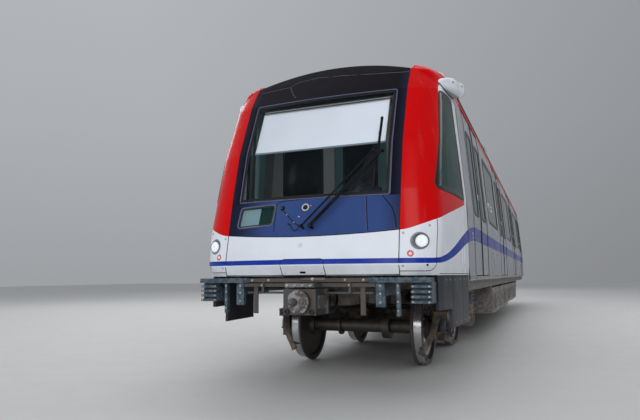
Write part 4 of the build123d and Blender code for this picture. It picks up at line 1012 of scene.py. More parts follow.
B = Build()
for sd in BOTH:
    place = lambda s, z: on_side(s, z, sd)
    for d0, d1 in DOORS:
        mid = (d0 + d1) / 2
        q, n = place(mid - 0.075, 2.10)
        annulus(B, q, n, 0.030, 0.039, -0.002, 0.006, 32, k=1)
        lathe(B, q, n, [(0.030, -0.002), (0.030, 0.006), (0.026, 0.009), (0.012, 0.0105), (0, 0.011)], 28, k=0)
        # leaf bolts along the foot
        for s in (d0 + 0.06, mid - 0.06, mid + 0.06, d1 - 0.06):
            screw(B, place(s, 1.105), 0.0065, k=2)
    # blank key plate on the fixed panel ahead of the first door
    plate(B, loop2(rect(1.965, 1.440, 2.030, 1.565), 0.012, 4), place, 0.004, 0.0015, k=1)
    for z in (1.478, 1.527):
        q, n = place(1.9975, z)
        lathe(B, q + n * 0.004, n, [(0.013, -0.002), (0.013, 0.002), (0.010, 0.004), (0.006, 0.004), (0.005, 0.001), (0, 0.001)], 20, k=3)
    for s, z in ((1.972, 1.448), (2.023, 1.448), (1.972, 1.557), (2.023, 1.557)):
        q, n = place(s, z)
        screw(B, (q + n * 0.004, n), 0.0028, k=2, proud=0.001, seg=8)
B.make("door_buttons", ["green", "plate", "bolt", "dark"], slot="stainless")

# joints between the side modules, cover plates, gutter and sill
B, G = Build(), Build()
for sd in BOTH:
    place = lambda s, z: on_side(s, z, sd)
    z_full = [1.06, 1.3, 1.8, 2.3, 2.6, 2.95, 3.05, 3.14, 3.262]
    for s in [d0 - 0.055 for d0, _ in DOORS[1:]] + [d1 + 0.055 for _, d1 in DOORS] + [2.115]:
        ribbon(B, [place(s, z) for z in z_full], 0.006, 0.0009, k=0)
    for a, b in WINDOWS:
        for s0, s1 in ((a + 0.10, a + 0.52), (b - 0.62, b - 0.10)):
            ribbon(B, [place(*q) for q in loop2(rect(s0, 1.10, s1, 1.40), 0.02, 4, 0.5)], 0.004, 0.0008, closed=True, k=0)
            for s in (s0 + 0.04, s1 - 0.04):
                q, n = place(s, 1.37)
                lathe(B, q, n, [(0.014, -0.001), (0.014, 0.0015), (0.011, 0.002), (0.010, 0.0005), (0, 0.0005)], 18, k=1)
    ribbon(B, [(P(sd * 1.2125, s, 3.276), Vector((sd * 0.97, 0, 0.24)).normalized()) for s in (1.56, 5.0, 9.0, 13.0, 16.895)], 0.012, 0.010, k=2)
    for s0, s1 in ((1.575, 2.16), (3.80, 6.31), (7.95, 10.46), (12.10, 14.61), (16.25, 16.88)):
        ribbon(G, [place(s, 1.034) for s in (s0, (s0 + s1) / 2, s1)], 0.056, 0.004, k=0)
        for z in (1.020, 1.046):
            ribbon(G, [(place(s, z)[0] + place(s, z)[1] * 0.004, place(s, z)[1]) for s in (s0, (s0 + s1) / 2, s1)], 0.005, 0.003, k=0)
        n_b = int((s1 - s0) / 0.32)
        for i in range(n_b + 1):
            s = s0 + 0.05 + (s1 - s0 - 0.10) * i / max(1, n_b)
            q, n = place(s, 1.034)
            screw(G, (q + n * 0.004, n), 0.0055, k=1, seg=10)
B.make("side_joints", ["seam", "bolt", "dark"], slot="rubber")
G.make("sill_strips", ["sill", "bolt"], slot="stainless")

# ------------------------------------------------------------------ roof
ROOF = tree("roof_shell", "cab_roof")


def on_roof(x, s):
    return drape(ROOF, Vector((x, s - S_MID, 6.0)), Vector((0, 0, -1)))


B = Build()
for x in (-0.98, -0.80, -0.62, -0.44, -0.26, 0.26, 0.44, 0.62, 0.80, 0.98):
    for s0, s1 in ((1.62, 16.86),):
        if abs(x) < 0.9:
            spans = [(2.60, 5.26), (8.04, 8.70), (10.78, 11.26), (14.04, 16.86)] if abs(x) < 0.5 else [(1.9, 5.26), (8.04, 11.26), (14.04, 16.86)]
        else:
            spans = [(1.9, 16.86)]
        for a, b in spans:
            ribbon(B, [on_roof(x, a + (b - a) * i / 6) for i in range(7)], 0.034, 0.009, k=0)
for s in (1.575, 4.68, 8.02, 11.28, 14.02, 16.88):
    ribbon(B, [on_roof(-1.15 + 2.30 * i / 30, s) for i in range(31)], 0.030, 0.010, k=0)
for s in (1.95, 4.70, 8.5, 10.8, 14.4, 16.6):
    for sd in BOTH:
        hit = on_roof(sd * 1.02, s)
        lathe(B, hit[0], hit[1], [(0.045, -0.003), (0.045, 0.008), (0.030, 0.012), (0.030, 0.030), (0.018, 0.034), (0, 0.034)], 20, k=1)
B.make("roof_ribs", ["roof", "bolt"], slot="roof_grey")

# raised red corner mouldings beside the black brow: a swelling over the roof corner with a rounded inner edge
B = Build()
CAP_S, CAP_X = (0.86, 1.46), (0.912, 1.200)
NS, NX = 24, 22
for sd in BOTH:
    top, low = [], []
    for i in range(NS + 1):
        s = CAP_S[0] + (CAP_S[1] - CAP_S[0]) * i / NS
        along = min(1.0, i / NS / 0.22) * min(1.0, (1 - i / NS) / 0.45)
        along = along * along * (3 - 2 * along)
        for j in range(NX + 1):
            w = (j / NX) ** 1.5
            hit = None
            for back in range(30):
                hit = hit or on_roof(sd * (CAP_X[0] + max(0.0, (CAP_X[1] - CAP_X[0]) * w - 0.008 * back)), s)
            across = math.sqrt(max(0.0, 1 - (1 - min(1.0, w / 0.12)) ** 2)) * (0.25 + 0.75 * math.cos(math.pi * 0.5 * w)) * (1 - w ** 3)
            base = hit[0]
            top.append(base + UP * (0.043 * along * across - 0.0015 * (1 if i in (0, NS) or j in (0, NX) else 0)))
            low.append(base - UP * 0.005)
    n = NX + 1
    k = len(top)
    faces = []
    for i in range(NS):
        for j in range(NX):
            a = i * n + j
            faces += [(a, a + 1, a + n + 1, a + n), (k + a, k + a + n, k + a + n + 1, k + a + 1)]
    rim = [j for j in range(n)] + [i * n + NX for i in range(1, NS + 1)] + [NS * n + j for j in range(NX - 1, -1, -1)] + [i * n for i in range(NS - 1, 0, -1)]
    faces += [(rim[q], k + rim[q], k + rim[(q + 1) % len(rim)], rim[(q + 1) % len(rim)]) for q in range(len(rim))]
    B.add(top + low, faces if sd > 0 else [f[::-1] for f in faces], 0)
B.make("roof_corner_mouldings", ["corner_red"], slot="white_paint")

B = Build()
# non-slip walkway boards beside the roof gear
for s0, s1 in ((2.70, 5.20), (14.15, 16.75)):
    for x in (-0.16, 0.16):
        for i in range(int((s1 - s0) / 0.25)):
            s = s0 + 0.25 * i
            z = on_roof(x, s)[0].z
            block(B, (x - 0.13, s - S_MID, z + 0.004), (x + 0.13, s + 0.215 - S_MID, z + 0.022), 0.003, k=0)
            for j in range(6):
                block(B, (x - 0.11 + 0.038 * j, s + 0.02 - S_MID, z + 0.022), (x - 0.098 + 0.038 * j, s + 0.195 - S_MID, z + 0.026), 0.001, k=1)
# aerials and horns behind the cab
hit = on_roof(0.0, 1.86)
lathe(B, hit[0], UP, [(0.11, -0.01), (0.11, 0.012), (0.085, 0.020), (0.078, 0.055), (0.055, 0.085), (0.02, 0.097), (0, 0.098)], 32, k=2)
hit = on_roof(-0.42, 1.86)
lathe(B, hit[0], UP, [(0.05, -0.01), (0.05, 0.01), (0.016, 0.018), (0.012, 0.10), (0.008, 0.16), (0, 0.162)], 20, k=2)
for k, x in enumerate((0.34, 0.46)):
    z = on_roof(x, 2.3)[0].z + 0.052
    c = Vector((x, 2.16 - S_MID, z))
    lathe(B, c, ALONG, [(0.040, 0.0), (0.042, 0.004), (0.033, 0.018), (0.020, 0.06), (0.013, 0.12), (0.012, 0.20 + 0.03 * k), (0.018, 0.205 + 0.03 * k), (0.018, 0.23 + 0.03 * k), (0.0, 0.235 + 0.03 * k)], 24, k=3)
    block(B, (x - 0.018, 2.30 - S_MID, z - 0.056), (x + 0.018, 2.33 - S_MID, z + 0.004), 0.003, k=1)
B.make("roof_fittings", ["under", "bolt", "dark", "horn"], slot="roof_grey")

# air conditioners: side louvres, lid joints, fan guards, lifting eyes
B = Build()
for a, b in ((5.30, 8.00), (11.30, 14.00)):
    y0, y1 = a - S_MID, b - S_MID
    for sd in BOTH:
        x = sd * 0.900
        for j in range(3):
            c0, c1 = y0 + 0.12 + 0.86 * j, y0 + 0.12 + 0.86 * j + 0.72
            block(B, (x - 0.004, c0, 3.520), (x + 0.004, c1, 3.530), 0.002, k=0)
            block(B, (x - 0.004, c0, 3.672), (x + 0.004, c1, 3.682), 0.002, k=0)
            for e in (c0, c1 - 0.010):
                block(B, (x - 0.004, e, 3.520), (x + 0.004, e + 0.010, 3.682), 0.002, k=0)
            for i in range(9):
                z = 3.536 + 0.0155 * i
                bar(B, Vector((x, c0 + 0.01, z)), Vector((x, c1 - 0.01, z)), 0.016, 0.003, up=Vector((sd * 0.5, 0, 1)), ch=0.001, k=1)
    for cy in (y0 + 0.75, y1 - 0.75):
        for cx in (-0.36, 0.36):
            c = Vector((cx, cy, 3.80))
            annulus(B, c, UP, 0.262, 0.290, -0.004, 0.018, 44, k=0)
            for r in (0.055, 0.095, 0.135, 0.175, 0.215, 0.250):
                annulus(B, c, UP, r, r + 0.006, 0.010, 0.017, 40, k=1, ch=0.001)
            for i in range(8):
                t = math.pi * i / 8
                d = Vector((math.cos(t), math.sin(t), 0))
                bar(B, c - d * 0.27 + UP * 0.013, c + d * 0.27 + UP * 0.013, 0.010, 0.005, ch=0.001, k=1)
            for i in range(5):
                t = 2 * math.pi * i / 5 + 0.3
                d, e = Vector((math.cos(t), math.sin(t), 0)), Vector((-math.sin(t), math.cos(t), 0))
                q = [c + d * 0.05 - e * 0.02, c + d * 0.24 - e * 0.06, c + d * 0.25 + e * 0.05, c + d * 0.05 + e * 0.02]
                q = [v + UP * (0.0015 + (0.004 if j > 1 else 0.0)) for j, v in enumerate(q)]
                B.add(q + [v + UP * 0.003 for v in q], [(0, 1, 2, 3), (4, 5, 6, 7), (0, 1, 5, 4), (1, 2, 6, 5), (2, 3, 7, 6), (3, 0, 4, 7)], 2)
            lathe(B, c, UP, [(0.055, 0.0), (0.055, 0.008), (0.045, 0.014), (0, 0.015)], 20, k=2)
    for y in (y0 + 1.30, y0 + 1.38):
        block(B, (-0.795, y, 3.7985), (0.795, y + 0.008, 3.803), 0.001, k=2)
    for cx in (-0.70, 0.70):
        for y in (y0 + 0.10, y1 - 0.10):
            tube(B, [Vector((cx - 0.03, y, 3.795)), Vector((cx - 0.03, y, 3.835)), Vector((cx - 0.015, y, 3.852)), Vector((cx + 0.015, y, 3.852)), Vector((cx + 0.03, y, 3.835)), Vector((cx + 0.03, y, 3.795))], 0.007, 8, k=3)
    for i in range(14):
        for cx in (-0.77, 0.77):
            hexbolt(B, Vector((cx, y0 + 0.10 + (y1 - y0 - 0.20) * i / 13, 3.800)), UP, 0.008, k=3)
B.make("air_conditioner_details", ["roof", "under", "dark", "bolt"], slot="roof_grey")

# ------------------------------------------------------------------ pantograph details
PIV, KNEE, HEADP = (10.300, 3.860), (8.9901, 4.1866), (10.2957, 4.4404)
B = Build()
for s in (8.9, 10.33):
    for x in (-0.42, 0.42):
        lathe(B, P(x, s, 3.765), UP, [(0.055, -0.012), (0.055, 0.0)], 20, k=0)
        for j in range(4):
            a = math.pi / 4 + math.pi / 2 * j
            hexbolt(B, P(x + 0.036 * math.cos(a), s + 0.036 * math.sin(a), 3.80) if abs(s - 8.9) < 0.001 else P(x + 0.02 * math.cos(a), s + 0.02 * math.sin(a), 3.80), UP, 0.008, k=1)
        for j in range(3):
            z = 3.6025 + 0.045 * j
            lathe(B, P(x, s, z), UP, [(0.048, -0.002), (0.072, 0.006), (0.076, 0.012), (0.073, 0.018), (0.050, 0.024)], 28, k=2)
# raising cylinder and springs on the base frame
cyl(B, P(0.16, 9.15, 3.835), P(0.16, 9.78, 3.835), 0.040, 24, k=0)
cyl(B, P(0.16, 9.78, 3.835), P(0.16, 10.10, 3.845), 0.013, 16, k=1)
block(B, (0.11, 9.12 - S_MID, 3.798), (0.21, 9.18 - S_MID, 3.875), 0.004, k=0)
for x in (-0.12, -0.20):
    coil(B, P(x, 9.10, 3.835), P(x, 10.06, 3.835), 0.022, 0.0045, 34, k=1, per=12)
    cyl(B, P(x, 8.83, 3.835), P(x, 9.10, 3.835), 0.008, 10, k=1)
block(B, (-0.24, 8.80 - S_MID, 3.798), (-0.08, 8.86 - S_MID, 3.855), 0.004, k=0)
tube(B, smooth_line([P(-0.30, 10.22, 3.81), P(-0.36, 10.45, 3.80), P(-0.40, 10.58, 3.72), P(-0.42, 10.62, 3.63), P(-0.42, 10.63, 3.57)]), 0.013, 10, k=3)
lathe(B, P(-0.42, 10.63, 3.60), UP, [(0.045, -0.06), (0.045, -0.01), (0.025, 0.0), (0.022, 0.02), (0, 0.021)], 20, k=2)
for s in (9.25, 9.75):
    block(B, (-0.45, s - S_MID - 0.02, 3.765), (-0.39, s - S_MID + 0.02, 3.806), 0.003, k=0)
    block(B, (0.39, s - S_MID - 0.02, 3.765), (0.45, s - S_MID + 0.02, 3.806), 0.003, k=0)
B.make("pantograph_base_details", ["panto_base", "bolt", "insulator", "copper"], slot="panto_base_paint")

B = Build()
lo, kn = P(0, *PIV), P(0, *KNEE)
d = (kn - lo).normalized()
for t in (0.12, 0.55, 0.88):
    c = lo.lerp(kn, t)
    cyl(B, c - d * 0.03, c + d * 0.03, 0.0385, 24, k=0)
    for j in range(2):
        q = c + d * (-0.012 + 0.024 * j)
        hexbolt(B, q + Vector((0.038, 0, 0)), ACROSS, 0.006, k=1)
cyl(B, P(0.300, *PIV), P(0.345, *PIV), 0.024, 20, k=1)
cyl(B, P(-0.345, *PIV), P(-0.300, *PIV), 0.024, 20, k=1)
braid = [lo.lerp(kn, 0.92) + Vector((0.018, 0, 0.030)), lo.lerp(kn, 0.96) + Vector((0.020, 0, 0.050)), kn + Vector((0.020, -0.006, 0.049))]
tube(B, smooth_line(braid), 0.006, 8, k=2)
B.make("lower_arm_details", ["alu", "bolt", "copper"], body="lower_arm", slot="panto_alu")

B = Build()
hd = P(0, *HEADP)
for sd in BOTH:
    a, b = P(sd * 0.060, *KNEE), P(sd * 0.330, *HEADP)
    e = (b - a).normalized()
    for t in (0.06, 0.5, 0.93):
        c = a.lerp(b, t)
        cyl(B, c - e * 0.02, c + e * 0.02, 0.0195, 18, k=0)
bar(B, P(-0.14, *KNEE).lerp(P(-0.24, *HEADP), 0.42), P(0.14, *KNEE).lerp(P(0.24, *HEADP), 0.42), 0.020, 0.012, ch=0.003, k=0)
for x in (-0.405, 0.405):
    lathe(B, P(x, *HEADP), ACROSS * (1 if x > 0 else -1), [(0.020, 0.0), (0.020, 0.010), (0.013, 0.014), (0, 0.014)], 18, k=1)
B.make("upper_arm_details", ["alu", "bolt"], body="upper_arm", slot="panto_alu")

B = Build()
for ds in (-0.17, 0.17):
    y, z = HEADP[0] + ds, HEADP[1]
    block(B, (-0.515, y - 0.021 - S_MID, z + 0.122), (0.515, y + 0.021 - S_MID, z + 0.1335), 0.003, k=0)
    for x in (-0.50, -0.25, 0.0, 0.25, 0.50):
        block(B, (x - 0.012, y - 0.027 - S_MID, z + 0.088), (x + 0.012, y + 0.027 - S_MID, z + 0.1275), 0.002, k=1)
    for sd in BOTH:
        cyl(B, P(sd * 0.786, y, z - 0.040), P(sd * 0.800, y, z - 0.075), 0.013, 12, k=1)
for x in (-0.385, 0.385):
    for ds in (-0.185, 0.185):
        coil(B, P(x, HEADP[0] + ds * 0.86, HEADP[1] + 0.055), P(x, HEADP[0] + ds * 0.86, HEADP[1] + 0.092), 0.016, 0.003, 4, k=2, per=12)
    hexbolt(B, P(x + (0.016 if x > 0 else -0.016), HEADP[0] + 0.05, HEADP[1] + 0.02), ACROSS * (1 if x > 0 else -1), 0.007, k=2)
tube(B, smooth_line([P(-0.36, HEADP[0] - 0.12, HEADP[1] + 0.07), P(-0.30, HEADP[0] - 0.03, HEADP[1] + 0.03), P(-0.30, HEADP[0] + 0.03, HEADP[1] + 0.03), P(-0.36, HEADP[0] + 0.12, HEADP[1] + 0.07)]), 0.006, 8, k=3)
B.make("collector_details", ["carbon", "alu", "bolt", "copper"], body="collector_head", slot="panto_alu")

# ------------------------------------------------------------------ wiper details
WN = Vector((0, -1, 0.31)).normalized()


def wp(x, z, out=0.0):
    return P(x, 0.070 + 0.31 * (z - 1.550), z) + WN * out


PA, PB, TA, TB = (0.075, 1.542), (-0.018, 1.542), (0.735, 2.264), (0.642, 2.264)
B = Build()
lathe(B, wp(*PA, 0.010), WN, [(0.021, 0.0), (0.021, 0.010), (0.016, 0.016), (0.008, 0.018), (0, 0.018)], 24, k=0)
hexbolt(B, wp(*PA, 0.026), WN, 0.008, k=1)


def arm_at(t, side=0.0, out=0.0):
    x, z = PA[0] + (TA[0] - PA[0]) * t, PA[1] + (TA[1] - PA[1]) * t
    return wp(x, z, out)


along = (wp(*TA) - wp(*PA)).normalized()
across = WN.cross(along)
bar(B, arm_at(0.05, out=0.014), arm_at(0.34, out=0.013), 0.030, 0.009, up=WN, ch=0.003, k=0)
bar(B, arm_at(0.34, out=0.012), arm_at(0.97, out=0.012), 0.008, 0.005, up=WN, ch=0.0015, k=0)
coil(B, arm_at(0.07, out=0.022), arm_at(0.30, out=0.022), 0.006, 0.0016, 38, k=1, per=10)
for t in (0.06, 0.33):
    cyl(B, arm_at(t, out=0.014) - across * 0.019, arm_at(t, out=0.014) + across * 0.019, 0.005, 10, k=1)
lathe(B, wp(*TA, 0.008), WN, [(0.015, 0.0), (0.015, 0.007), (0.010, 0.011), (0, 0.011)], 20, k=0)
for t in (0.42, 0.55, 0.68, 0.82):
    bar(B, arm_at(t, out=0.012) - along * 0.006, arm_at(t, out=0.012) + along * 0.006, 0.028, 0.008, up=WN, ch=0.002, k=0)
tube(B, [arm_at(t, out=0.012) + across * 0.0155 for t in [0.02 + 0.094 * i for i in range(11)]], 0.0028, 8, k=0)
B.make("wiper_arm_details", ["wiper", "dark"], body="wiper_main", slot="rubber")
B = Build()
lathe(B, wp(*PB, 0.010), WN, [(0.016, 0.0), (0.016, 0.009), (0.011, 0.014), (0, 0.014)], 20, k=0)
hexbolt(B, wp(*PB, 0.022), WN, 0.0065, k=1)
lathe(B, wp(*TB, 0.008), WN, [(0.011, 0.0), (0.011, 0.006), (0.007, 0.010), (0, 0.010)], 18, k=0)
B.make("wiper_link_details", ["wiper", "dark"], body="wiper_guide", slot="rubber")
B = Build()
bx = (TA[0] + TB[0]) / 2


def blade_at(z, out):
    return wp(bx + 0.040 * (z - 2.259) / 0.760, z, out)


for z0, z1 in ((1.900, 2.225), (2.300, 2.622)):
    zz = [z0, (z0 + z1) / 2, z1]
    tube(B, smooth_line([blade_at(zz[0], -0.011), blade_at(zz[1], -0.003), blade_at(zz[2], -0.011)], 8), 0.005, 8, k=0)
for z in (1.90, 2.06, 2.22, 2.30, 2.46, 2.62):
    bar(B, blade_at(z - 0.010, -0.014), blade_at(z + 0.010, -0.014), 0.026, 0.010, up=WN, ch=0.002, k=0)
tube(B, [blade_at(1.882 + 0.0754 * i, -0.0335) for i in range(11)], 0.0042, 6, k=1)
B.make("wiper_blade_details", ["wiper", "rubber"], body="wiper_rubber", slot="rubber")

# ------------------------------------------------------------------ sun blind: roller, cloth, hem bar
BT, BB, BH = (0.650, 2.870), (0.438, 2.382), 0.730
cols, rows = 56, 22
verts, faces = [], []
dn = Vector((0, BB[1] - BT[1], -(BB[0] - BT[0]))).normalized()
for j in range(rows + 1):
    t = j / rows
    for i in range(cols + 1):
        a = i / cols
        x = -BH + 2 * BH * a
        slack = 0.0022 * math.sin(7.0 * a * math.pi + 2.2 * t) * t + 0.0030 * math.sin(2.3 * math.pi * a + 0.7) * math.sin(math.pi * t) + 0.0012 * math.sin(23 * a + 9 * t) * t
        p = P(x, BT[0] + (BB[0] - BT[0]) * t, BT[1] + (BB[1] - BT[1]) * t)
        verts.append(p - dn * slack + Vector((0, 0.002, 0)))
for j in range(rows):
    for i in range(cols):
        a = j * (cols + 1) + i
        faces.append((a, a + 1, a + cols + 2, a + cols + 1))
me = bpy.data.meshes.new("blind_cloth")
me.from_pydata(verts, [], faces)
me.materials.append(M["blind_cloth"])
me.polygons.foreach_set("use_smooth", [True] * len(me.polygons))
cloth = bpy.data.objects.new("blind_cloth", me)
bpy.context.scene.collection.objects.link(cloth)
thick = cloth.modifiers.new("thickness", "SOLIDIFY")
thick.thickness, thick.offset = 0.0012, 0.0
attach(cloth, "car_body")
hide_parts("sun_blind")
B = Build()
cyl(B, P(-0.735, 0.6725, 2.8735), P(0.735, 0.6725, 2.8735), 0.0175, 24, k=0)
for sd in BOTH:
    block(B, (sd * 0.738 - 0.005, 0.652 - S_MID, 2.850), (sd * 0.738 + 0.005, 0.697 - S_MID, 2.900), 0.003, k=1)
bar(B, P(-0.735, 0.684, 2.908), P(0.735, 0.684, 2.908), 0.030, 0.010, k=0)
roller = B.make("blind_roller", ["plate", "dark"], slot="stainless")
B = Build()
bar(B, P(-0.732, 0.439, 2.381), P(0.732, 0.439, 2.381), 0.010, 0.020, ch=0.003, k=0)
for sd in BOTH:
    tube(B, [P(sd * 0.7335, 0.664, 2.880), P(sd * 0.7335, 0.552, 2.631), P(sd * 0.7335, 0.440, 2.382)], 0.0022, 6, k=1)
hem = B.make("blind_hem", ["hem_band", "bolt"], slot="stainless")

# ------------------------------------------------------------------ driver's seat
def cushion(name, size, centre, tilt, crown, seams, cuts=5, levels=2):
    """Crowned cushion: a subdivided block whose faces swell and whose sides pull in, with sewn channels."""
    bm = bmesh.new()
    bmesh.ops.create_cube(bm, size=1.0)
    bmesh.ops.subdivide_edges(bm, edges=bm.edges[:], cuts=cuts, use_grid_fill=True)
    sx, sy, sz = size
    for v in bm.verts:
        x, y, z = v.co * 2
        rx, ry = 1 - x * x, 1 - y * y
        swell = crown * max(0.0, rx) ** 0.5 * max(0.0, ry) ** 0.5
        nx = x * (1 - 0.035 * (1 - z * z) * 0 - 0.05 * z * z)
        ny = y * (1 - 0.05 * z * z)
        pull = 0.03 * (1 - abs(y)) if abs(x) > 0.99 else 0.0
        pull_y = 0.03 * (1 - abs(x)) if abs(y) > 0.99 else 0.0
        nx -= pull * (1 if x > 0 else -1) * -1 * (0.6 - z * z)
        ny -= pull_y * (1 if y > 0 else -1) * -1 * (0.6 - z * z)
        dz = swell * (1 if z > 0 else 0.25) * z
        if z > 0.5:
            for q in seams:
                dz -= 0.16 * crown * math.exp(-((x - q) / 0.10) ** 2) * 1.6
        v.co = Vector((nx * sx / 2, ny * sy / 2, z * sz / 2 + dz))
    me = bpy.data.meshes.new(name)
    bm.to_mesh(me)
    bm.free()
    me.transform(Matrix.Translation(centre) @ Matrix.Rotation(tilt, 4, "X"))
    me.materials.append(M["seat_cloth"])
    me.polygons.foreach_set("use_smooth", [True] * len(me.polygons))
    o = bpy.data.objects.new(name, me)
    bpy.context.scene.collection.objects.link(o)
    sub = o.modifiers.new("round", "SUBSURF")
    sub.levels = sub.render_levels = levels
    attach(o, "car_body")
    return o


# painted light: the blind cloth glows, standing in for light coming through it from behind; it is no lamp
blind_glow_bsdf = M["blind_cloth"].node_tree.nodes["Principled BSDF"]
blind_glow_bsdf.inputs["Emission Color"].default_value = (0.70, 0.81, 1.0, 1.0)
blind_glow_bsdf.inputs["Emission Strength"].default_value = 0.42

SX = 0.250
seat = cushion("seat_cushion", (0.450, 0.430, 0.085), P(SX, 1.300, 1.470), 0.03, 0.022, (-0.45, 0.45))
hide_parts("driver_seat")
cushion("seat_back", (0.420, 0.545, 0.075), P(SX, 1.520, 1.800), math.radians(86), 0.018, (-0.45, 0.45))
cushion("seat_headrest", (0.250, 0.120, 0.070), P(SX, 1.525, 2.055), math.radians(86), 0.016, ())
B = Build()
lathe(B, P(SX, 1.300, 1.100), UP, [(0.16, 0.0), (0.16, 0.012), (0.13, 0.022), (0.075, 0.04), (0.060, 0.08), (0.058, 0.20), (0.075, 0.21), (0.075, 0.235), (0.0, 0.24)], 32, k=0)
for i in range(5):
    z = 1.325 + 0.014 * i
    block(B, (SX - 0.10 - 0.010 * (i % 2), 1.20 - S_MID, z), (SX + 0.10 + 0.010 * (i % 2), 1.40 - S_MID, z + 0.011), 0.004, k=1)
block(B, (SX - 0.20, 1.110 - S_MID, 1.400), (SX + 0.20, 1.490 - S_MID, 1.428), 0.006, k=0)
block(B, (SX - 0.19, 1.550 - S_MID, 1.560), (SX + 0.19, 1.566 - S_MID, 2.040), 0.006, k=0)
for sd in BOTH:
    bar(B, P(SX + sd * 0.215, 1.520, 1.62), P(SX + sd * 0.215, 1.250, 1.66), 0.045, 0.030, ch=0.010, k=1)
    cyl(B, P(SX + sd * 0.05, 1.530, 2.00), P(SX + sd * 0.05, 1.530, 2.06), 0.006, 10, k=0)
# piping round the seat cushion
ring = loop2(rect(SX - 0.212, 1.098, SX + 0.212, 1.502), 0.05, 6, 0.05)
tube(B, [P(x, s, 1.470 + 0.03 * (s - 1.3)) for x, s in ring], 0.0045, 6, k=1, closed=True)
B.make("seat_frame", ["under", "dark"], slot="desk_grey")

# ------------------------------------------------------------------ driver's desk
B = Build()
for x0, x1, k in ((-0.10, 0.14, 1), (0.17, 0.43, 1), (0.46, 0.66, 1)):
    bar(B, P(x0, 0.560, 1.835), P(x1, 0.560, 1.835), 0.020, 0.085, up=Vector((0, 0.45, 1)), ch=0.006, k=0)
    bar(B, P(x0 + 0.012, 0.572, 1.838), P(x1 - 0.012, 0.572, 1.838), 0.004, 0.066, up=Vector((0, 0.45, 1)), ch=0.001, k=k)
for i in range(16):
    x = -0.20 + 0.055 * i
    lathe(B, P(x, 0.82, 1.750), Vector((0, 0.35, 1)), [(0.012, -0.004), (0.012, 0.008), (0.009, 0.013), (0, 0.013)], 14, k=2 + i % 3)
for x in (0.02, 0.50):
    lathe(B, P(x, 0.78, 1.765), Vector((0, 0.3, 1)), [(0.045, -0.01), (0.045, 0.006), (0.02, 0.012), (0.010, 0.02), (0.010, 0.09), (0.022, 0.10), (0.026, 0.12), (0.018, 0.14), (0, 0.145)], 20, k=0)
for sd in BOTH:
    block(B, (sd * 0.62 - 0.20, 0.45 - S_MID, 1.785), (sd * 0.62 + 0.20, 0.62 - S_MID, 1.806), 0.006, k=0)
B.make("desk_controls", ["dark", "inner_teal", "green", "red_lens", "plate"], slot="desk_grey")

# ------------------------------------------------------------------ cab inside: lining, partition trim, grab pole and curtain
B = Build()
for y_face, sgn in ((1.880, -1), (1.920, 1)):
    place = lambda x, z: (P(x, y_face, z), Vector((0, sgn, 0)))
    for x0, x1 in ((-1.08, -0.52), (0.52, 1.08)):
        ribbon(B, [place(*q) for q in loop2(rect(x0, 1.95, x1, 2.80), 0.05, 5, 0.4)], 0.030, 0.006, closed=True, k=0)
        plate(B, loop2(rect(x0 + 0.015, 1.965, x1 - 0.015, 2.785), 0.04, 5, 0.4), place, 0.0015, 0.0005, k=1)
    for x0, x1 in ((-1.10, -0.45), (0.45, 1.10)):
        ribbon(B, [place(*q) for q in loop2(rect(x0, 1.20, x1, 1.80), 0.03, 4, 0.4)], 0.006, 0.001, closed=True, k=2)
B.make("partition_trim", ["rubber", "frit", "seam"], slot="interior_white")
B = Build()
for y_face, sgn in ((1.880, -1), (1.920, 1)):
    place = lambda x, z: (P(x, y_face, z), Vector((0, sgn, 0)))
    ribbon(B, [place(*q) for q in loop2(rect(-0.22, 1.90, 0.22, 2.80), 0.05, 5, 0.4)], 0.026, 0.005, closed=True, k=0)
    plate(B, loop2(rect(-0.208, 1.912, 0.208, 2.788), 0.04, 5, 0.4), place, 0.0015, 0.0005, k=1)
    q = P(-0.30, y_face, 2.02)
    m = Vector((0, sgn, 0))
    lathe(B, q, m, [(0.024, -0.001), (0.024, 0.006), (0.011, 0.010), (0.010, 0.040), (0, 0.041)], 20, k=2)
    bar(B, q + m * 0.036 - ACROSS * 0.010, q + m * 0.036 + ACROSS * 0.115, 0.014, 0.016, up=UP, ch=0.004, k=2)
B.make("partition_door_trim", ["rubber", "frit", "steel"], body="cab_door", slot="interior_white")

B = Build()
for sd in BOTH:
    post = 0 if sd > 0 else 2
    cyl(B, P(sd * 1.150, 1.190, 1.102), P(sd * 1.085, 1.190, 3.080), 0.016 if sd > 0 else 0.028, 18, k=post)
    for z, x in ((1.11, 1.150), (3.05, 1.086)):
        lathe(B, P(sd * x, 1.190, z), UP, [(0.035, -0.008), (0.035, 0.004), (0.018, 0.012)], 18, k=post)
    # lining under and behind the side window
    for s0, s1, z0, z1 in ((1.42, 1.53, 1.15, 3.05),):
        block(B, (sd * 1.235 - 0.010, s0 - S_MID, z0), (sd * 1.235 + 0.010, s1 - S_MID, 2.2), 0.004, k=1)
B.make("cab_grab_poles", ["yellow", "inner_white", "teal_post"], slot="stainless")

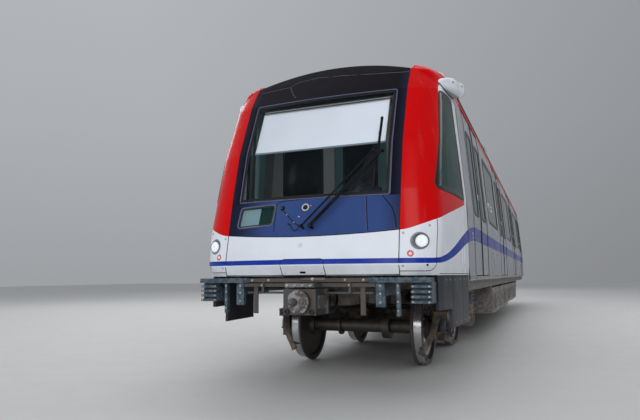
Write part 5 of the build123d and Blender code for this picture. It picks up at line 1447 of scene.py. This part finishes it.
# cab side curtains, gathered towards the rear of each side window
for sd, label in ((1, "right"), (-1, "left")):
    cols, rows = 44, 20
    verts, faces = [], []
    for j in range(rows + 1):
        t = j / rows
        z = 3.02 - 1.08 * t
        for i in range(cols + 1):
            a = i / cols
            s = 1.235 + 0.155 * a + 0.010 * math.sin(3.1 * t + a)
            fold = 0.018 * math.sin(2 * math.pi * 5.0 * a + 0.6 * math.sin(2.0 * t)) * (0.75 + 0.25 * t)
            xi = 1.175 - 0.055 * max(0.0, (z - 1.9)) / 1.1
            verts.append(P(sd * (xi - 0.03 + fold), s, z + 0.004 * math.sin(9 * a) * t))
    for j in range(rows):
        for i in range(cols):
            a = j * (cols + 1) + i
            faces.append((a, a + 1, a + cols + 2, a + cols + 1))
    me = bpy.data.meshes.new("cab_curtain_" + label)
    me.from_pydata(verts, [], faces)
    me.materials.append(M["inner_teal"])
    me.polygons.foreach_set("use_smooth", [True] * len(me.polygons))
    o = bpy.data.objects.new("cab_curtain_" + label, me)
    bpy.context.scene.collection.objects.link(o)
    t = o.modifiers.new("thickness", "SOLIDIFY")
    t.thickness, t.offset = 0.0015, 0.0
    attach(o, "car_body")
    B = Build()
    cyl(B, P(sd * 1.094, 0.98, 3.035), P(sd * 1.094, 1.46, 3.035), 0.007, 12, k=0)
    for i in range(6):
        annulus(B, P(sd * 1.094, 1.245 + 0.029 * i, 3.030), ALONG, 0.008, 0.012, -0.0015, 0.0015, 14, k=0, ch=0.0005)
    for s in (0.985, 1.455):
        block(B, (sd * 1.100 - 0.015, s - 0.008 - S_MID, 3.022), (sd * 1.100 + 0.015, s + 0.008 - S_MID, 3.055), 0.003, k=0)
    rail = B.make("curtain_rail_" + label, ["steel"], slot="stainless")

# ------------------------------------------------------------------ saloon inside
B = Build()
for sd in BOTH:
    for a, b in ((2.05, 9.3), (9.36, 16.7)):
        bar(B, P(sd * 0.56, a, 3.194), P(sd * 0.56, b, 3.194), 0.16, 0.010, k=0)
        for x in (0.475, 0.645):
            bar(B, P(sd * x, a, 3.192), P(sd * x, b, 3.192), 0.012, 0.016, k=1)
B.make("saloon_lamps", ["strip", "inner_white"], slot="interior_white")

B = Build()
for sd in BOTH:
    for s0, s1 in ((2.0, 16.7),):
        cyl(B, P(sd * 0.86, 3.95, 2.95), P(sd * 0.86, 6.15, 2.95), 0.015, 14, k=0)
        cyl(B, P(sd * 0.86, 8.10, 2.95), P(sd * 0.86, 10.30, 2.95), 0.015, 14, k=0)
        cyl(B, P(sd * 0.86, 12.25, 2.95), P(sd * 0.86, 14.45, 2.95), 0.015, 14, k=0)
    for a, b in WINDOWS:
        for s in (a - 0.11, b + 0.11):
            for z in (1.108, 3.190):
                lathe(B, P(sd * 0.86, s, z), UP if z < 2 else -UP, [(0.040, -0.006), (0.040, 0.006), (0.020, 0.014)], 20, k=0)
            for z in (1.9, 2.95):
                lathe(B, P(sd * 0.86, s, z), UP, [(0.017, -0.028), (0.023, -0.020), (0.023, 0.020), (0.017, 0.028)], 18, k=0)
        # hanging straps' rings along the rail
        n_s = 6
        for i in range(n_s):
            s = a + 0.12 + (b - a - 0.24) * i / (n_s - 1)
            c = P(sd * 0.86, s, 2.95)
            bar(B, c - UP * 0.012, c - UP * 0.200, 0.028, 0.004, up=ACROSS, ch=0.001, k=1)
            tube(B, [c - UP * 0.262 + Vector((0, 0.058 * math.cos(t), 0.058 * math.sin(t))) for t in [2 * math.pi * j / 20 for j in range(20)]], 0.008, 8, k=2, closed=True)
B.make("saloon_handrails", ["steel", "rubber", "yellow"], slot="stainless")

# bench details: seat divisions, edge caps, end screens
B = Build()
for sd in BOTH:
    for a, b in WINDOWS:
        n_s = 4
        for i in range(n_s + 1):
            s = a - 0.055 + (b - a + 0.11) * i / n_s
            run = [(P(sd * x, s, z), Vector(nn).normalized()) for x, z, nn in ((0.846, 1.510, (-sd, 0, 0.1)), (0.862, 1.559, (-sd * 0.6, 0, 1)), (1.05, 1.560, (0, 0, 1)), (1.215, 1.562, (-sd * 0.3, 0, 1)), (1.246, 1.70, (-sd, 0, 0.15)), (1.262, 1.855, (-sd, 0, 0.3)))]
            ribbon(B, run, 0.018, 0.010, k=0)
        for s in (a - 0.075, b + 0.075):
            block(B, (min(sd * 0.88, sd * 1.285), s - 0.008 - S_MID, 1.16), (max(sd * 0.88, sd * 1.285), s + 0.008 - S_MID, 1.95), 0.006, k=1)
        for i in range(3):
            s = a + 0.2 + (b - a - 0.4) * i / 2
            bar(B, P(sd * 1.26, s, 1.22), P(sd * 0.92, s, 1.48), 0.035, 0.030, ch=0.006, k=2)
B.make("bench_details", ["bench", "inner_white", "under"], slot="bench_plastic")

B = Build()
block(B, (-1.285, 2.00 - S_MID, 1.101), (1.285, 16.83 - S_MID, 1.1045), 0.001, k=0)
for d0, d1 in DOORS:
    for sd in BOTH:
        x0, x1 = sorted((sd * 1.10, sd * 1.286))
        block(B, (x0, d0 - S_MID, 1.1045), (x1, d1 - S_MID, 1.108), 0.001, k=1)
        for j in range(6):
            x = sd * (1.115 + 0.03 * j)
            block(B, (x - 0.006, d0 + 0.03 - S_MID, 1.108), (x + 0.006, d1 - 0.03 - S_MID, 1.1105), 0.001, k=1)
B.make("saloon_floor_cover", ["floor_cover", "sill"], slot="desk_grey")

# ------------------------------------------------------------------ gangway bellows and rear end
def ring_at(w, z0, z1, y, r, seg=6):
    return [Vector((a, y, b)) for a, b in loop2(rect(-w, z0, w, z1), r, seg, 0.4)]


B = Build()
rings = []
stations = 60
for i in range(stations + 1):
    t = i / stations
    s = 16.902 + 0.226 * t
    if t < 0.08 or t > 0.92:
        g = 0.0
    else:
        g = 0.068 * abs(math.sin(math.pi * 3 * (t - 0.08) / 0.84)) ** 0.7
    rings.append(ring_at(0.682 + g, 1.0 - 0.6 * g, 3.140 + g, s - S_MID, 0.09 + 0.4 * g))
for i in range(stations, -1, -6):
    t = i / stations
    s = 16.902 + 0.226 * t
    g = 0.004 * math.sin(math.pi * 6 * t)
    rings.append(ring_at(0.622 + g, 1.098 - g, 3.078 + g, s - S_MID, 0.05))
n = min(len(r) for r in rings)
lens = {len(r) for r in rings}
if len(lens) > 1:
    rings = [[r[round(i * len(r) / n) % len(r)] for i in range(n)] for r in rings]
verts = [v for r in rings for v in r]
m = len(rings)
B.add(verts, [(i * n + j, i * n + (j + 1) % n, ((i + 1) % m) * n + (j + 1) % n, ((i + 1) % m) * n + j) for i in range(m) for j in range(n)], 0)
bell = B.make("bellows_folds", ["bellows"], slot="rubber", angle=60)
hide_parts("gangway_bellows")

B = Build()
place = lambda x, z: (P(x, 17.128, z), Vector((0, 1, 0)))
ribbon(B, [place(*q) for q in loop2(rect(-0.652, 1.05, 0.652, 3.11), 0.06, 6, 0.3)], 0.040, 0.005, closed=True, k=0)
for q in loop2(rect(-0.652, 1.05, 0.652, 3.11), 0.06, 2, 0.32):
    hexbolt(B, P(q[0], 17.132, q[1]), ALONG, 0.009, k=1)
place = lambda x, z: (P(x, 16.900, z), Vector((0, 1, 0)))
ribbon(B, [place(*q) for q in loop2(rect(-0.70, 0.99, 0.70, 3.17), 0.08, 6, 0.3)], 0.030, 0.006, closed=True, k=0)
B.make("gangway_frames", ["sill", "bolt"], slot="stainless")

B = Build()
for sd in BOTH:
    # grab rail, jumper sockets with hoses, edge strips
    tube(B, smooth_line([P(sd * 1.12, 16.898, 1.45), P(sd * 1.12, 16.955, 1.47), P(sd * 1.12, 16.955, 1.60), P(sd * 1.12, 16.955, 2.10), P(sd * 1.12, 16.955, 2.23), P(sd * 1.12, 16.898, 2.25)], 4), 0.014, 12, k=0)
    for z in (1.45, 2.25):
        lathe(B, P(sd * 1.12, 16.898, z), ALONG, [(0.030, 0.0), (0.030, 0.006), (0.016, 0.012)], 16, k=0)
    for i, z in enumerate((1.22, 1.36)):
        block(B, (sd * 0.93 - 0.055, 16.898 - S_MID, z - 0.05), (sd * 0.93 + 0.055, 16.955 - S_MID, z + 0.05), 0.008, k=1)
        lathe(B, P(sd * 0.93, 16.955, z), ALONG, [(0.036, 0.0), (0.036, 0.030), (0.030, 0.036), (0.018, 0.036), (0.018, 0.060), (0, 0.061)], 20, k=1)
        tube(B, smooth_line([P(sd * 0.93, 17.000, z), P(sd * 0.93, 17.055, z - 0.03), P(sd * 0.92, 17.075, z - 0.20), P(sd * 0.88, 17.055, z - 0.36), P(sd * 0.80, 17.000, z - 0.42), P(sd * 0.66, 16.930, z - 0.36), P(sd * 0.60, 16.880, 0.945)], 6), 0.017, 10, k=2)
    ribbon(B, [(P(sd * x, 16.899, z), ALONG.copy()) for x, z in ((1.29, 1.02), (1.29, 1.80), (1.215, 2.95), (1.185, 3.14), (1.15, 3.26))], 0.05, 0.004, k=3)
ribbon(B, [(P(0.70 - 1.40 * i / 10, 16.899, 3.36 + 0.06 * math.sin(math.pi * i / 10)), ALONG.copy()) for i in range(11)], 0.03, 0.004, k=3)
B.make("rear_end_fittings", ["steel", "dark", "rubber", "plate"], slot="stainless")

# ------------------------------------------------------------------ front coupler, guard bars, anticlimbers
B = Build()
c = P(0, -0.060, 0.825)
for i in range(8):
    a = math.pi / 8 + math.pi / 4 * i
    hexbolt(B, P(0.093 * math.cos(a), -0.058, 0.825 + 0.093 * math.sin(a)), -ALONG, 0.008, k=1)
lathe(B, P(-0.042, -0.058, 0.825), -ALONG, [(0.040, 0.0), (0.038, 0.012), (0.020, 0.060), (0.008, 0.074), (0, 0.075)], 28, k=0)
annulus(B, P(0.046, -0.058, 0.825), -ALONG, 0.026, 0.038, 0.0, 0.010, 28, k=0)
lathe(B, P(0.046, -0.058, 0.825), -ALONG, [(0.026, 0.0), (0.026, 0.002), (0.0, 0.001)], 24, k=2)
for x, z in ((-0.125, 0.735), (0.125, 0.735)):
    lathe(B, P(x, -0.018, z), -ALONG, [(0.026, 0.0), (0.026, 0.018), (0.020, 0.024), (0.012, 0.024), (0.012, 0.010), (0, 0.010)], 20, k=2)
block(B, (-0.150, -0.035 - S_MID, 0.955), (0.150, 0.24 - S_MID, 1.000), 0.008, k=0)
for x in (-0.12, -0.04, 0.04, 0.12):
    lathe(B, P(x, -0.034, 0.977), -ALONG, [(0.014, 0.0), (0.014, 0.010), (0.008, 0.014), (0, 0.014)], 14, k=1)
for sd in BOTH:
    tube(B, smooth_line([P(sd * 0.125, 0.295, 0.74), P(sd * 0.155, 0.36, 0.715), P(sd * 0.17, 0.46, 0.74), P(sd * 0.15, 0.58, 0.80), P(sd * 0.12, 0.66, 0.86)]), 0.014, 10, k=2)
    block(B, (sd * 0.168 - 0.006, 0.02 - S_MID, 0.76), (sd * 0.168 + 0.006, 0.22 - S_MID, 0.89), 0.004, k=0)
    for s, z in ((0.04, 0.78), (0.20, 0.78), (0.04, 0.87), (0.20, 0.87)):
        hexbolt(B, P(sd * 0.174, s, z), ACROSS * sd, 0.008, k=1)
for z in (0.762, 0.888):
    block(B, (-0.076, 0.33 - S_MID, z - 0.006), (0.076, 0.58 - S_MID, z + 0.006), 0.003, k=0)
B.make("coupler_head_details", ["coupler_face", "bolt", "rubber"], slot="coupler_steel")

B = Build()
for x in (-0.47, -0.20, 0.06, 0.44):
    bar(B, P(x, 0.150, 0.905), P(x, 0.150, 1.02), 0.030, 0.020, up=ALONG, ch=0.003, k=0)
    lathe(B, P(x, 0.128, 0.978), -ALONG, [(0.012, 0.0), (0.012, 0.008), (0.008, 0.012), (0, 0.012)], 14, k=1)
for x in (-0.58, 0.58, -0.40, 0.40):
    hexbolt(B, P(x, 0.128, 1.026), -ALONG, 0.009, k=1)
block(B, (-0.055, 0.118 - S_MID, 1.022), (0.205, 0.30 - S_MID, 1.050), 0.006, k=2)
hexbolt(B, P(0.075, 0.118, 1.036), -ALONG, 0.012, k=1)
for sd in BOTH:
    bar(B, P(sd * 0.56, 0.175, 0.70), P(sd * 0.56, 0.175, 0.965), 0.05, 0.014, up=ALONG, ch=0.003, k=0)
bar(B, P(-0.66, 0.185, 0.905), P(0.66, 0.185, 0.905), 0.020, 0.022, ch=0.004, k=0)
tube(B, smooth_line([P(-0.50, 0.22, 0.955), P(-0.36, 0.20, 0.935), P(-0.22, 0.23, 0.945), P(-0.12, 0.27, 0.935)]), 0.010, 8, k=3)
B.make("guard_fittings", ["guard", "bolt", "under", "rubber"], slot="guard_steel")

B = Build()
for sd in BOTH:
    for i in range(7):
        hexbolt(B, P(sd * (0.67 + 0.078 * i), 0.150, 1.046), UP, 0.008, h=0.004, k=1)
    x0, x1 = sorted((sd * 0.655, sd * 1.190))
    ribbon(B, [(P(sd * (0.64 + 0.55 * i / 6), 0.126, 1.024), -ALONG) for i in range(7)], 0.010, 0.004, k=0)
    for j in range(4):
        z = 0.827 + 0.046 * j
        for x in (1.030, 1.177):
            hexbolt(B, P(sd * x, 0.150, z), -ALONG, 0.006, h=0.003, k=1)
    for z in (0.75, 0.83, 0.91, 0.97):
        hexbolt(B, P(sd * 0.896, 0.150, z), -ALONG, 0.007, h=0.005, k=1)
    for z in (0.82, 0.90, 0.97):
        hexbolt(B, P(sd * 0.731, 0.150, z), -ALONG, 0.008, h=0.005, k=1)
B.make("anticlimber_details", ["slate", "bolt"], slot="anticlimber_blue")

# skirt: lap joints, edge strip, fixing bolts
B = Build()
SKIRT = tree("cab_skirt")
for sd in BOTH:
    hit_at = lambda s, z: drape(SKIRT, P(sd * 3.0, s, z), Vector((-sd, 0, 0)))
    for s in (0.80, 1.20):
        ribbon(B, [hit_at(s, z) for z in (0.575, 0.7, 0.85, 1.0, 1.055)], 0.006, 0.001, k=0)
    ribbon(B, [hit_at(s, 1.050) for s in [0.45 + 0.06 * i for i in range(18)]], 0.010, 0.003, k=2)
    for s in (0.60, 0.72, 0.88, 1.10, 1.28, 1.42):
        for z in (0.60, 1.02):
            hit = hit_at(s, z)
            if hit:
                screw(B, hit, 0.008, k=1)
B.make("skirt_details", ["seam", "bolt", "rubber"], slot="skirt_charcoal")

# ------------------------------------------------------------------ underfloor cases
B = Build()
CASES = [(4.95, 6.50, 0.300, 1.280, 0.420), (6.65, 8.70, 0.300, 1.280, 0.400), (8.85, 10.20, 0.300, 1.280, 0.440), (10.35, 12.25, 0.300, 1.280, 0.420)]
for ci, (s0, s1, x0, x1, z0) in enumerate(CASES):
    for sd in BOTH:
        a, b = (s0, s1) if sd > 0 else (s0 + 0.06, s1 - 0.04)
        face = lambda s, z, sd=sd: (P(sd * x1, s, z), Vector((sd, 0, 0)))
        n_l = 2 if b - a < 1.6 else 3
        w = (b - a) / n_l
        for j in range(n_l):
            l0, l1 = a + w * j + 0.03, a + w * (j + 1) - 0.03
            plate(B, loop2(rect(l0, z0 + 0.03, l1, 0.815), 0.02, 4, 0.5), face, 0.010, 0.004, k=0)
            if (ci + j) % 2 == 0:
                for i in range(12):
                    z = z0 + 0.09 + (0.66 - z0) / 12 * i
                    if z > 0.75:
                        break
                    q0, q1 = face(l0 + 0.10, z), face(l1 - 0.10, z)
                    bar(B, q0[0] + q0[1] * 0.014, q1[0] + q1[1] * 0.014, 0.020, 0.004, up=Vector((sd * 0.6, 0, 1)), ch=0.001, k=1)
                ribbon(B, [(q + nn * 0.010, nn) for q, nn in [face(*c) for c in loop2(rect(l0 + 0.08, z0 + 0.06, l1 - 0.08, 0.775), 0.015, 3, 0.5)]], 0.014, 0.008, closed=True, k=0)
            else:
                for i in range(3):
                    s = l0 + (l1 - l0) * (0.25 + 0.25 * i)
                    ribbon(B, [(P(sd * (x1 + 0.010), s, z), Vector((sd, 0, 0))) for z in (z0 + 0.08, 0.60, 0.765)], 0.030, 0.008, k=0)
            for s in (l0 + 0.07, l1 - 0.07):
                q, nn = face(s, 0.795)
                bar(B, q + nn * 0.016 - ALONG * 0.028, q + nn * 0.016 + ALONG * 0.028, 0.012, 0.022, up=UP, ch=0.003, k=2)
                q, nn = face(s, z0 + 0.05)
                cyl(B, q + nn * 0.016 - ALONG * 0.03, q + nn * 0.016 + ALONG * 0.03, 0.009, 12, k=2)
            for s in (l0 + 0.02, (l0 + l1) / 2, l1 - 0.02):
                for z in (z0 + 0.045, 0.802):
                    q, nn = face(s, z)
                    screw(B, (q + nn * 0.010, nn), 0.006, k=2, seg=8)
        # cable glands and conduits on the inner side
        for i in range(4):
            s = a + (b - a) * (0.2 + 0.2 * i)
            q = P(sd * x0, s, 0.74)
            lathe(B, q, Vector((-sd, 0, 0)), [(0.026, -0.001), (0.026, 0.02), (0.020, 0.026), (0.014, 0.05), (0, 0.05)], 14, k=2)
            tube(B, smooth_line([q + Vector((-sd * 0.045, 0, 0)), q + Vector((-sd * 0.08, 0, 0.03)), q + Vector((-sd * 0.085, 0.02, 0.12)), q + Vector((-sd * 0.07, 0.03, 0.255))], 4), 0.011, 8, k=3)
        # stiffening ribs under the case
        for i in range(3):
            s = a + (b - a) * (0.25 + 0.25 * i)
            bar(B, P(sd * (x0 + 0.05), s, z0 - 0.003), P(sd * (x1 - 0.05), s, z0 - 0.003), 0.045, 0.012, ch=0.003, k=0)
B.make("case_details", ["boxes", "under", "bolt", "rubber"], slot="underframe_grey")

# air pipes with their clamps between the cases, air reservoirs with their straps
B = Build()
for x, r in ((-0.265, 0.014), (0.265, 0.014), (0.05, 0.010)):
    cyl(B, P(x, 4.70, 0.735), P(x, 12.45, 0.735), r, 14, k=1)
    for i in range(16):
        s = 4.8 + 0.5 * i
        block(B, (x - 0.024, s - S_MID, 0.716), (x + 0.024, s + 0.022 - S_MID, 0.762), 0.003, k=0)
for x in (-0.13, 0.17):
    lathe(B, P(x, 5.40, 0.62), ALONG, [(0.0, 0.0), (0.06, 0.012), (0.098, 0.05), (0.105, 0.10), (0.105, 1.40), (0.098, 1.45), (0.06, 1.488), (0.0, 1.50)], 32, k=0)
    for s in (5.62, 6.68):
        annulus(B, P(x, s, 0.62), ALONG, 0.105, 0.111, 0.0, 0.05, 32, k=1)
        block(B, (x - 0.015, s - S_MID, 0.70), (x + 0.015, s + 0.05 - S_MID, 0.765), 0.003, k=1)
B.make("underfloor_pipes", ["under", "bolt"], slot="underframe_grey")

# ------------------------------------------------------------------ bogie and wheelset details
for bogie, s_c, axles in (("front_bogie", 2.95, ("front_axle_1", "front_axle_2")), ("rear_bogie", 14.15, ("rear_axle_1", "rear_axle_2"))):
    B = Build()
    for sd in BOTH:
        X = sd * 1.065
        out = Vector((sd, 0, 0))
        # axle boxes: end cover, bolts, rubber springs over them, stops
        for d in (-1.0, 1.0):
            c = P(X, s_c + d, 0.45)
            annulus(B, c, out, 0.080, 0.112, -0.002, 0.022, 36, k=0)
            for i in range(8):
                a = 2 * math.pi * i / 8 + 0.2
                hexbolt(B, c + out * 0.022 + Vector((0, 0.096 * math.cos(a), 0.096 * math.sin(a))), out, 0.008, k=1)
            for e in (-0.175, 0.175):
                base = P(sd * 0.99, s_c + d + e, 0.470)
                lathe(B, base, UP, [(0.040, -0.05), (0.040, -0.03), (0.052, -0.03), (0.052, 0.0), (0.046, 0.006), (0.052, 0.02), (0.046, 0.034), (0.052, 0.048), (0.046, 0.062), (0.052, 0.076), (0.044, 0.09)], 24, k=2)
                block(B, (base.x - 0.055, base.y - 0.05, 0.405), (base.x + 0.055, base.y + 0.05, 0.424), 0.004, k=0)
                bar(B, P(sd * 0.99, s_c + d + e, 0.415), P(sd * 0.99, s_c + d, 0.415), 0.09, 0.022, ch=0.004, k=0)
            # brake unit over the tread on the inner side of the wheel
            y = s_c + d + (-0.50 if d > 0 else 0.50)
            block(B, (min(sd * 0.70, sd * 0.86), y - 0.06 - S_MID, 0.47), (max(sd * 0.70, sd * 0.86), y + 0.06 - S_MID, 0.62), 0.012, k=0)
        # vertical damper and its brackets, air spring bellows rings
        for d in (-0.34, 0.34):
            cyl(B, P(sd * 1.100, s_c + d, 0.48), P(sd * 1.100, s_c + d, 0.60), 0.022, 18, k=2)
            cyl(B, P(sd * 1.100, s_c + d, 0.60), P(sd * 1.100, s_c + d, 0.66), 0.014, 14, k=1)
            for z in (0.475, 0.655):
                cyl(B, P(sd * 1.062, s_c + d, z), P(sd * 1.125, s_c + d, z), 0.016, 14, k=1)
        for z in (0.70, 0.755, 0.81):
            annulus(B, P(sd * 0.99, s_c, z), UP, 0.204, 0.228, -0.014, 0.014, 44, k=2, ch=0.008)
        annulus(B, P(sd * 0.99, s_c, 0.845), UP, 0.200, 0.224, -0.010, 0.012, 44, k=0)
        # side frame: welded edge flanges and lifting lug
        for s0, s1, z0, z1 in ((-1.235, -0.62, 0.640, 0.662), (0.62, 1.235, 0.662, 0.640)):
            bar(B, P(sd * 0.99, s_c + s0, z0 + 0.004), P(sd * 0.99, s_c + s1, z1 + 0.004), 0.170, 0.012, ch=0.003, k=0)
        block(B, (X - 0.006 * sd if sd > 0 else X - 0.010, s_c - 0.07 - S_MID, 0.46), (X + 0.010 if sd > 0 else X + 0.006, s_c + 0.07 - S_MID, 0.53), 0.004, k=0)
        for y in (-0.05, 0.05):
            hexbolt(B, P(X + sd * 0.010, s_c + y, 0.495), out, 0.009, k=1)
        # guard iron ahead of the leading wheel
        lead = -1.24 if bogie == "front_bogie" else 1.24
        bar(B, P(sd * 0.955, s_c + lead, 0.60), P(sd * 0.90, s_c + lead * 1.085, 0.36), 0.075, 0.016, up=ALONG, ch=0.003, k=0)
        bar(B, P(sd * 0.90, s_c + lead * 1.085, 0.37), P(sd * 0.78, s_c + lead * 1.12, 0.17), 0.070, 0.016, up=ALONG, ch=0.003, k=0)
        # hoses along the frame
        tube(B, smooth_line([P(sd * 1.075, s_c - 1.10, 0.655), P(sd * 1.078, s_c - 0.75, 0.668), P(sd * 1.076, s_c - 0.50, 0.585), P(sd * 1.078, s_c - 0.10, 0.566), P(sd * 1.078, s_c + 0.40, 0.566)]), 0.009, 8, k=3)
    # traction motor fins and cover bolts, and a row of bolts over the frame
    for m_s in BOTH:
        for m_y in BOTH:
            y0, y1 = sorted((m_y * 0.165, m_y * 0.44))
            x0, x1 = sorted((m_s * 0.12, m_s * 0.56))
            for i in range(7):
                y = y0 + 0.035 + 0.034 * i
                block(B, (x0 + 0.02, s_c + y - S_MID, 0.318), (x1 - 0.02, s_c + y + 0.010 - S_MID, 0.334), 0.003, k=0)
            for i in range(6):
                a = 2 * math.pi * i / 6
                hexbolt(B, P(x1 if m_s > 0 else x0, s_c + (y0 + y1) / 2 + 0.07 * math.cos(a), 0.47 + 0.07 * math.sin(a)), ACROSS * m_s, 0.009, k=1)
    for i in range(9):
        for y in (-0.155, 0.155):
            hexbolt(B, P(-0.80 + 0.2 * i, s_c + y, 0.660), UP, 0.009, k=1)
    B.make(bogie + "_details", ["cast", "bolt", "spring", "rubber"], body=bogie, slot="cast_bogie")
    for axle, d in zip(axles, (-1.0, 1.0)):
        B = Build()
        for sd in BOTH:
            # bright running band and the flange root
            n = Vector((sd, 0, 0))
            c = P(0, s_c + d, 0.45)
            prof = [(0.4233, 0.716), (0.4222, 0.730), (0.4212, 0.770), (0.4202, 0.800), (0.4150, 0.800), (0.4150, 0.716)]
            a, b = axes(n)
            seg = 72
            verts = [c + n * h + a * (r * math.cos(2 * math.pi * i / seg)) + b * (r * math.sin(2 * math.pi * i / seg)) for r, h in prof for i in range(seg)]
            m = len(prof)
            B.add(verts, [(j * seg + i, j * seg + (i + 1) % seg, ((j + 1) % m) * seg + (i + 1) % seg, ((j + 1) % m) * seg + i) for j in range(m) for i in range(seg)], 0)
            # brake disc bolted to the wheel web
            annulus(B, P(sd * 0.772, s_c + d, 0.45), n, 0.190, 0.330, -0.004, 0.014, 56, k=1)
            for i in range(12):
                t = 2 * math.pi * i / 12
                hexbolt(B, P(sd * 0.786, s_c + d, 0.45) + Vector((0, 0.215 * math.cos(t), 0.215 * math.sin(t))), n, 0.010, k=2)
            annulus(B, P(sd * 0.815, s_c + d, 0.45), n, 0.094, 0.128, -0.006, 0.010, 40, k=3)
        annulus(B, P(0.30, s_c + d, 0.45), ACROSS, 0.082, 0.150, -0.045, 0.045, 40, k=3)
        annulus(B, P(-0.30, s_c + d, 0.45), ACROSS, 0.082, 0.120, -0.015, 0.015, 40, k=3)
        B.make(axle + "_details", ["tread", "tread", "bolt", "wheel"], body=axle, slot="wheel_steel")

# ------------------------------------------------------------------ floor and studio light
me = bpy.data.meshes.new("studio_floor")
n = 24
verts = [(-60 + 120 * i / n, -60 + 120 * j / n, -0.0005) for j in range(n + 1) for i in range(n + 1)]
me.from_pydata(verts, [], [(j * (n + 1) + i, j * (n + 1) + i + 1, (j + 1) * (n + 1) + i + 1, (j + 1) * (n + 1) + i) for j in range(n) for i in range(n)])
floor = bpy.data.objects.new("studio_floor", me)
bpy.context.scene.collection.objects.link(floor)
fm = Mat("floor_plain")
fm.set(Base_Color=fm.blend(fm.noise(0.8, 3.0), (0.60, 0.60, 0.595), (0.63, 0.63, 0.625)), Roughness=fm.span(fm.noise(3.0, 3.0), 0.3, 0.7, 0.55, 0.7))
me.materials.append(fm.m)

world = bpy.data.worlds.new("studio")
bpy.context.scene.world = world
world.use_nodes = True
wt = world.node_tree
bg = wt.nodes["Background"]
tc = wt.nodes.new("ShaderNodeTexCoord")
sp = wt.nodes.new("ShaderNodeSeparateXYZ")
rp = wt.nodes.new("ShaderNodeValToRGB")
wt.links.new(tc.outputs["Generated"], sp.inputs[0])
wt.links.new(sp.outputs[2], rp.inputs[0])
wt.links.new(rp.outputs[0], bg.inputs[0])
rp.color_ramp.elements[0].position, rp.color_ramp.elements[0].color = 0.0, (0.58, 0.60, 0.63, 1)
rp.color_ramp.elements[1].position, rp.color_ramp.elements[1].color = 1.0, (0.92, 0.95, 1.0, 1)
e = rp.color_ramp.elements.new(0.25)
e.color = (0.70, 0.73, 0.77, 1)
shade = wt.nodes.new("ShaderNodeMapRange")
for i, v in enumerate((-0.6, 0.25, 0.98, 0.66)):
    shade.inputs[i + 1].default_value = v
wt.links.new(sp.outputs[0], shade.inputs[0])
dim = wt.nodes.new("ShaderNodeMath")
dim.operation = "MULTIPLY"
dim.inputs[1].default_value = 0.60
wt.links.new(shade.outputs[0], dim.inputs[0])
wt.links.new(dim.outputs[0], bg.inputs[1])


def lamp(name, loc, aim, size, power, col=(1, 1, 1)):
    data = bpy.data.lights.new(name, "AREA")
    data.shape, data.size, data.size_y = "RECTANGLE", size[0], size[1]
    data.energy, data.color = power, col
    o = bpy.data.objects.new(name, data)
    bpy.context.scene.collection.objects.link(o)
    o.location = loc
    o.rotation_mode = "QUATERNION"
    o.rotation_quaternion = (Vector(aim) - Vector(loc)).to_track_quat("-Z", "Y")


lamp("key", (9.5, -27.0, 11.5), (0.2, -7.5, 1.7), (12.0, 8.0), 1450, (1.0, 0.985, 0.96))
lamp("front_soft", (-6.5, -27.0, 7.0), (-0.2, -8.0, 1.8), (14.0, 6.0), 900, (0.94, 0.97, 1.0))
lamp("side", (7.5, 1.5, 12.5), (1.3, 0.5, 1.8), (4.0, 20.0), 560, (0.97, 0.98, 1.0))
lamp("far_side", (-7.5, 1.5, 12.5), (-1.3, 0.5, 1.8), (4.0, 20.0), 640, (1.0, 0.98, 0.96))
lamp("top", (0.0, 2.0, 13.0), (0, 1.0, 3.0), (4.0, 16.0), 300)
lamp("rear_soft", (-9.5, 26.0, 10.0), (0, 8.0, 1.8), (12.0, 8.0), 700, (0.97, 0.98, 1.0))
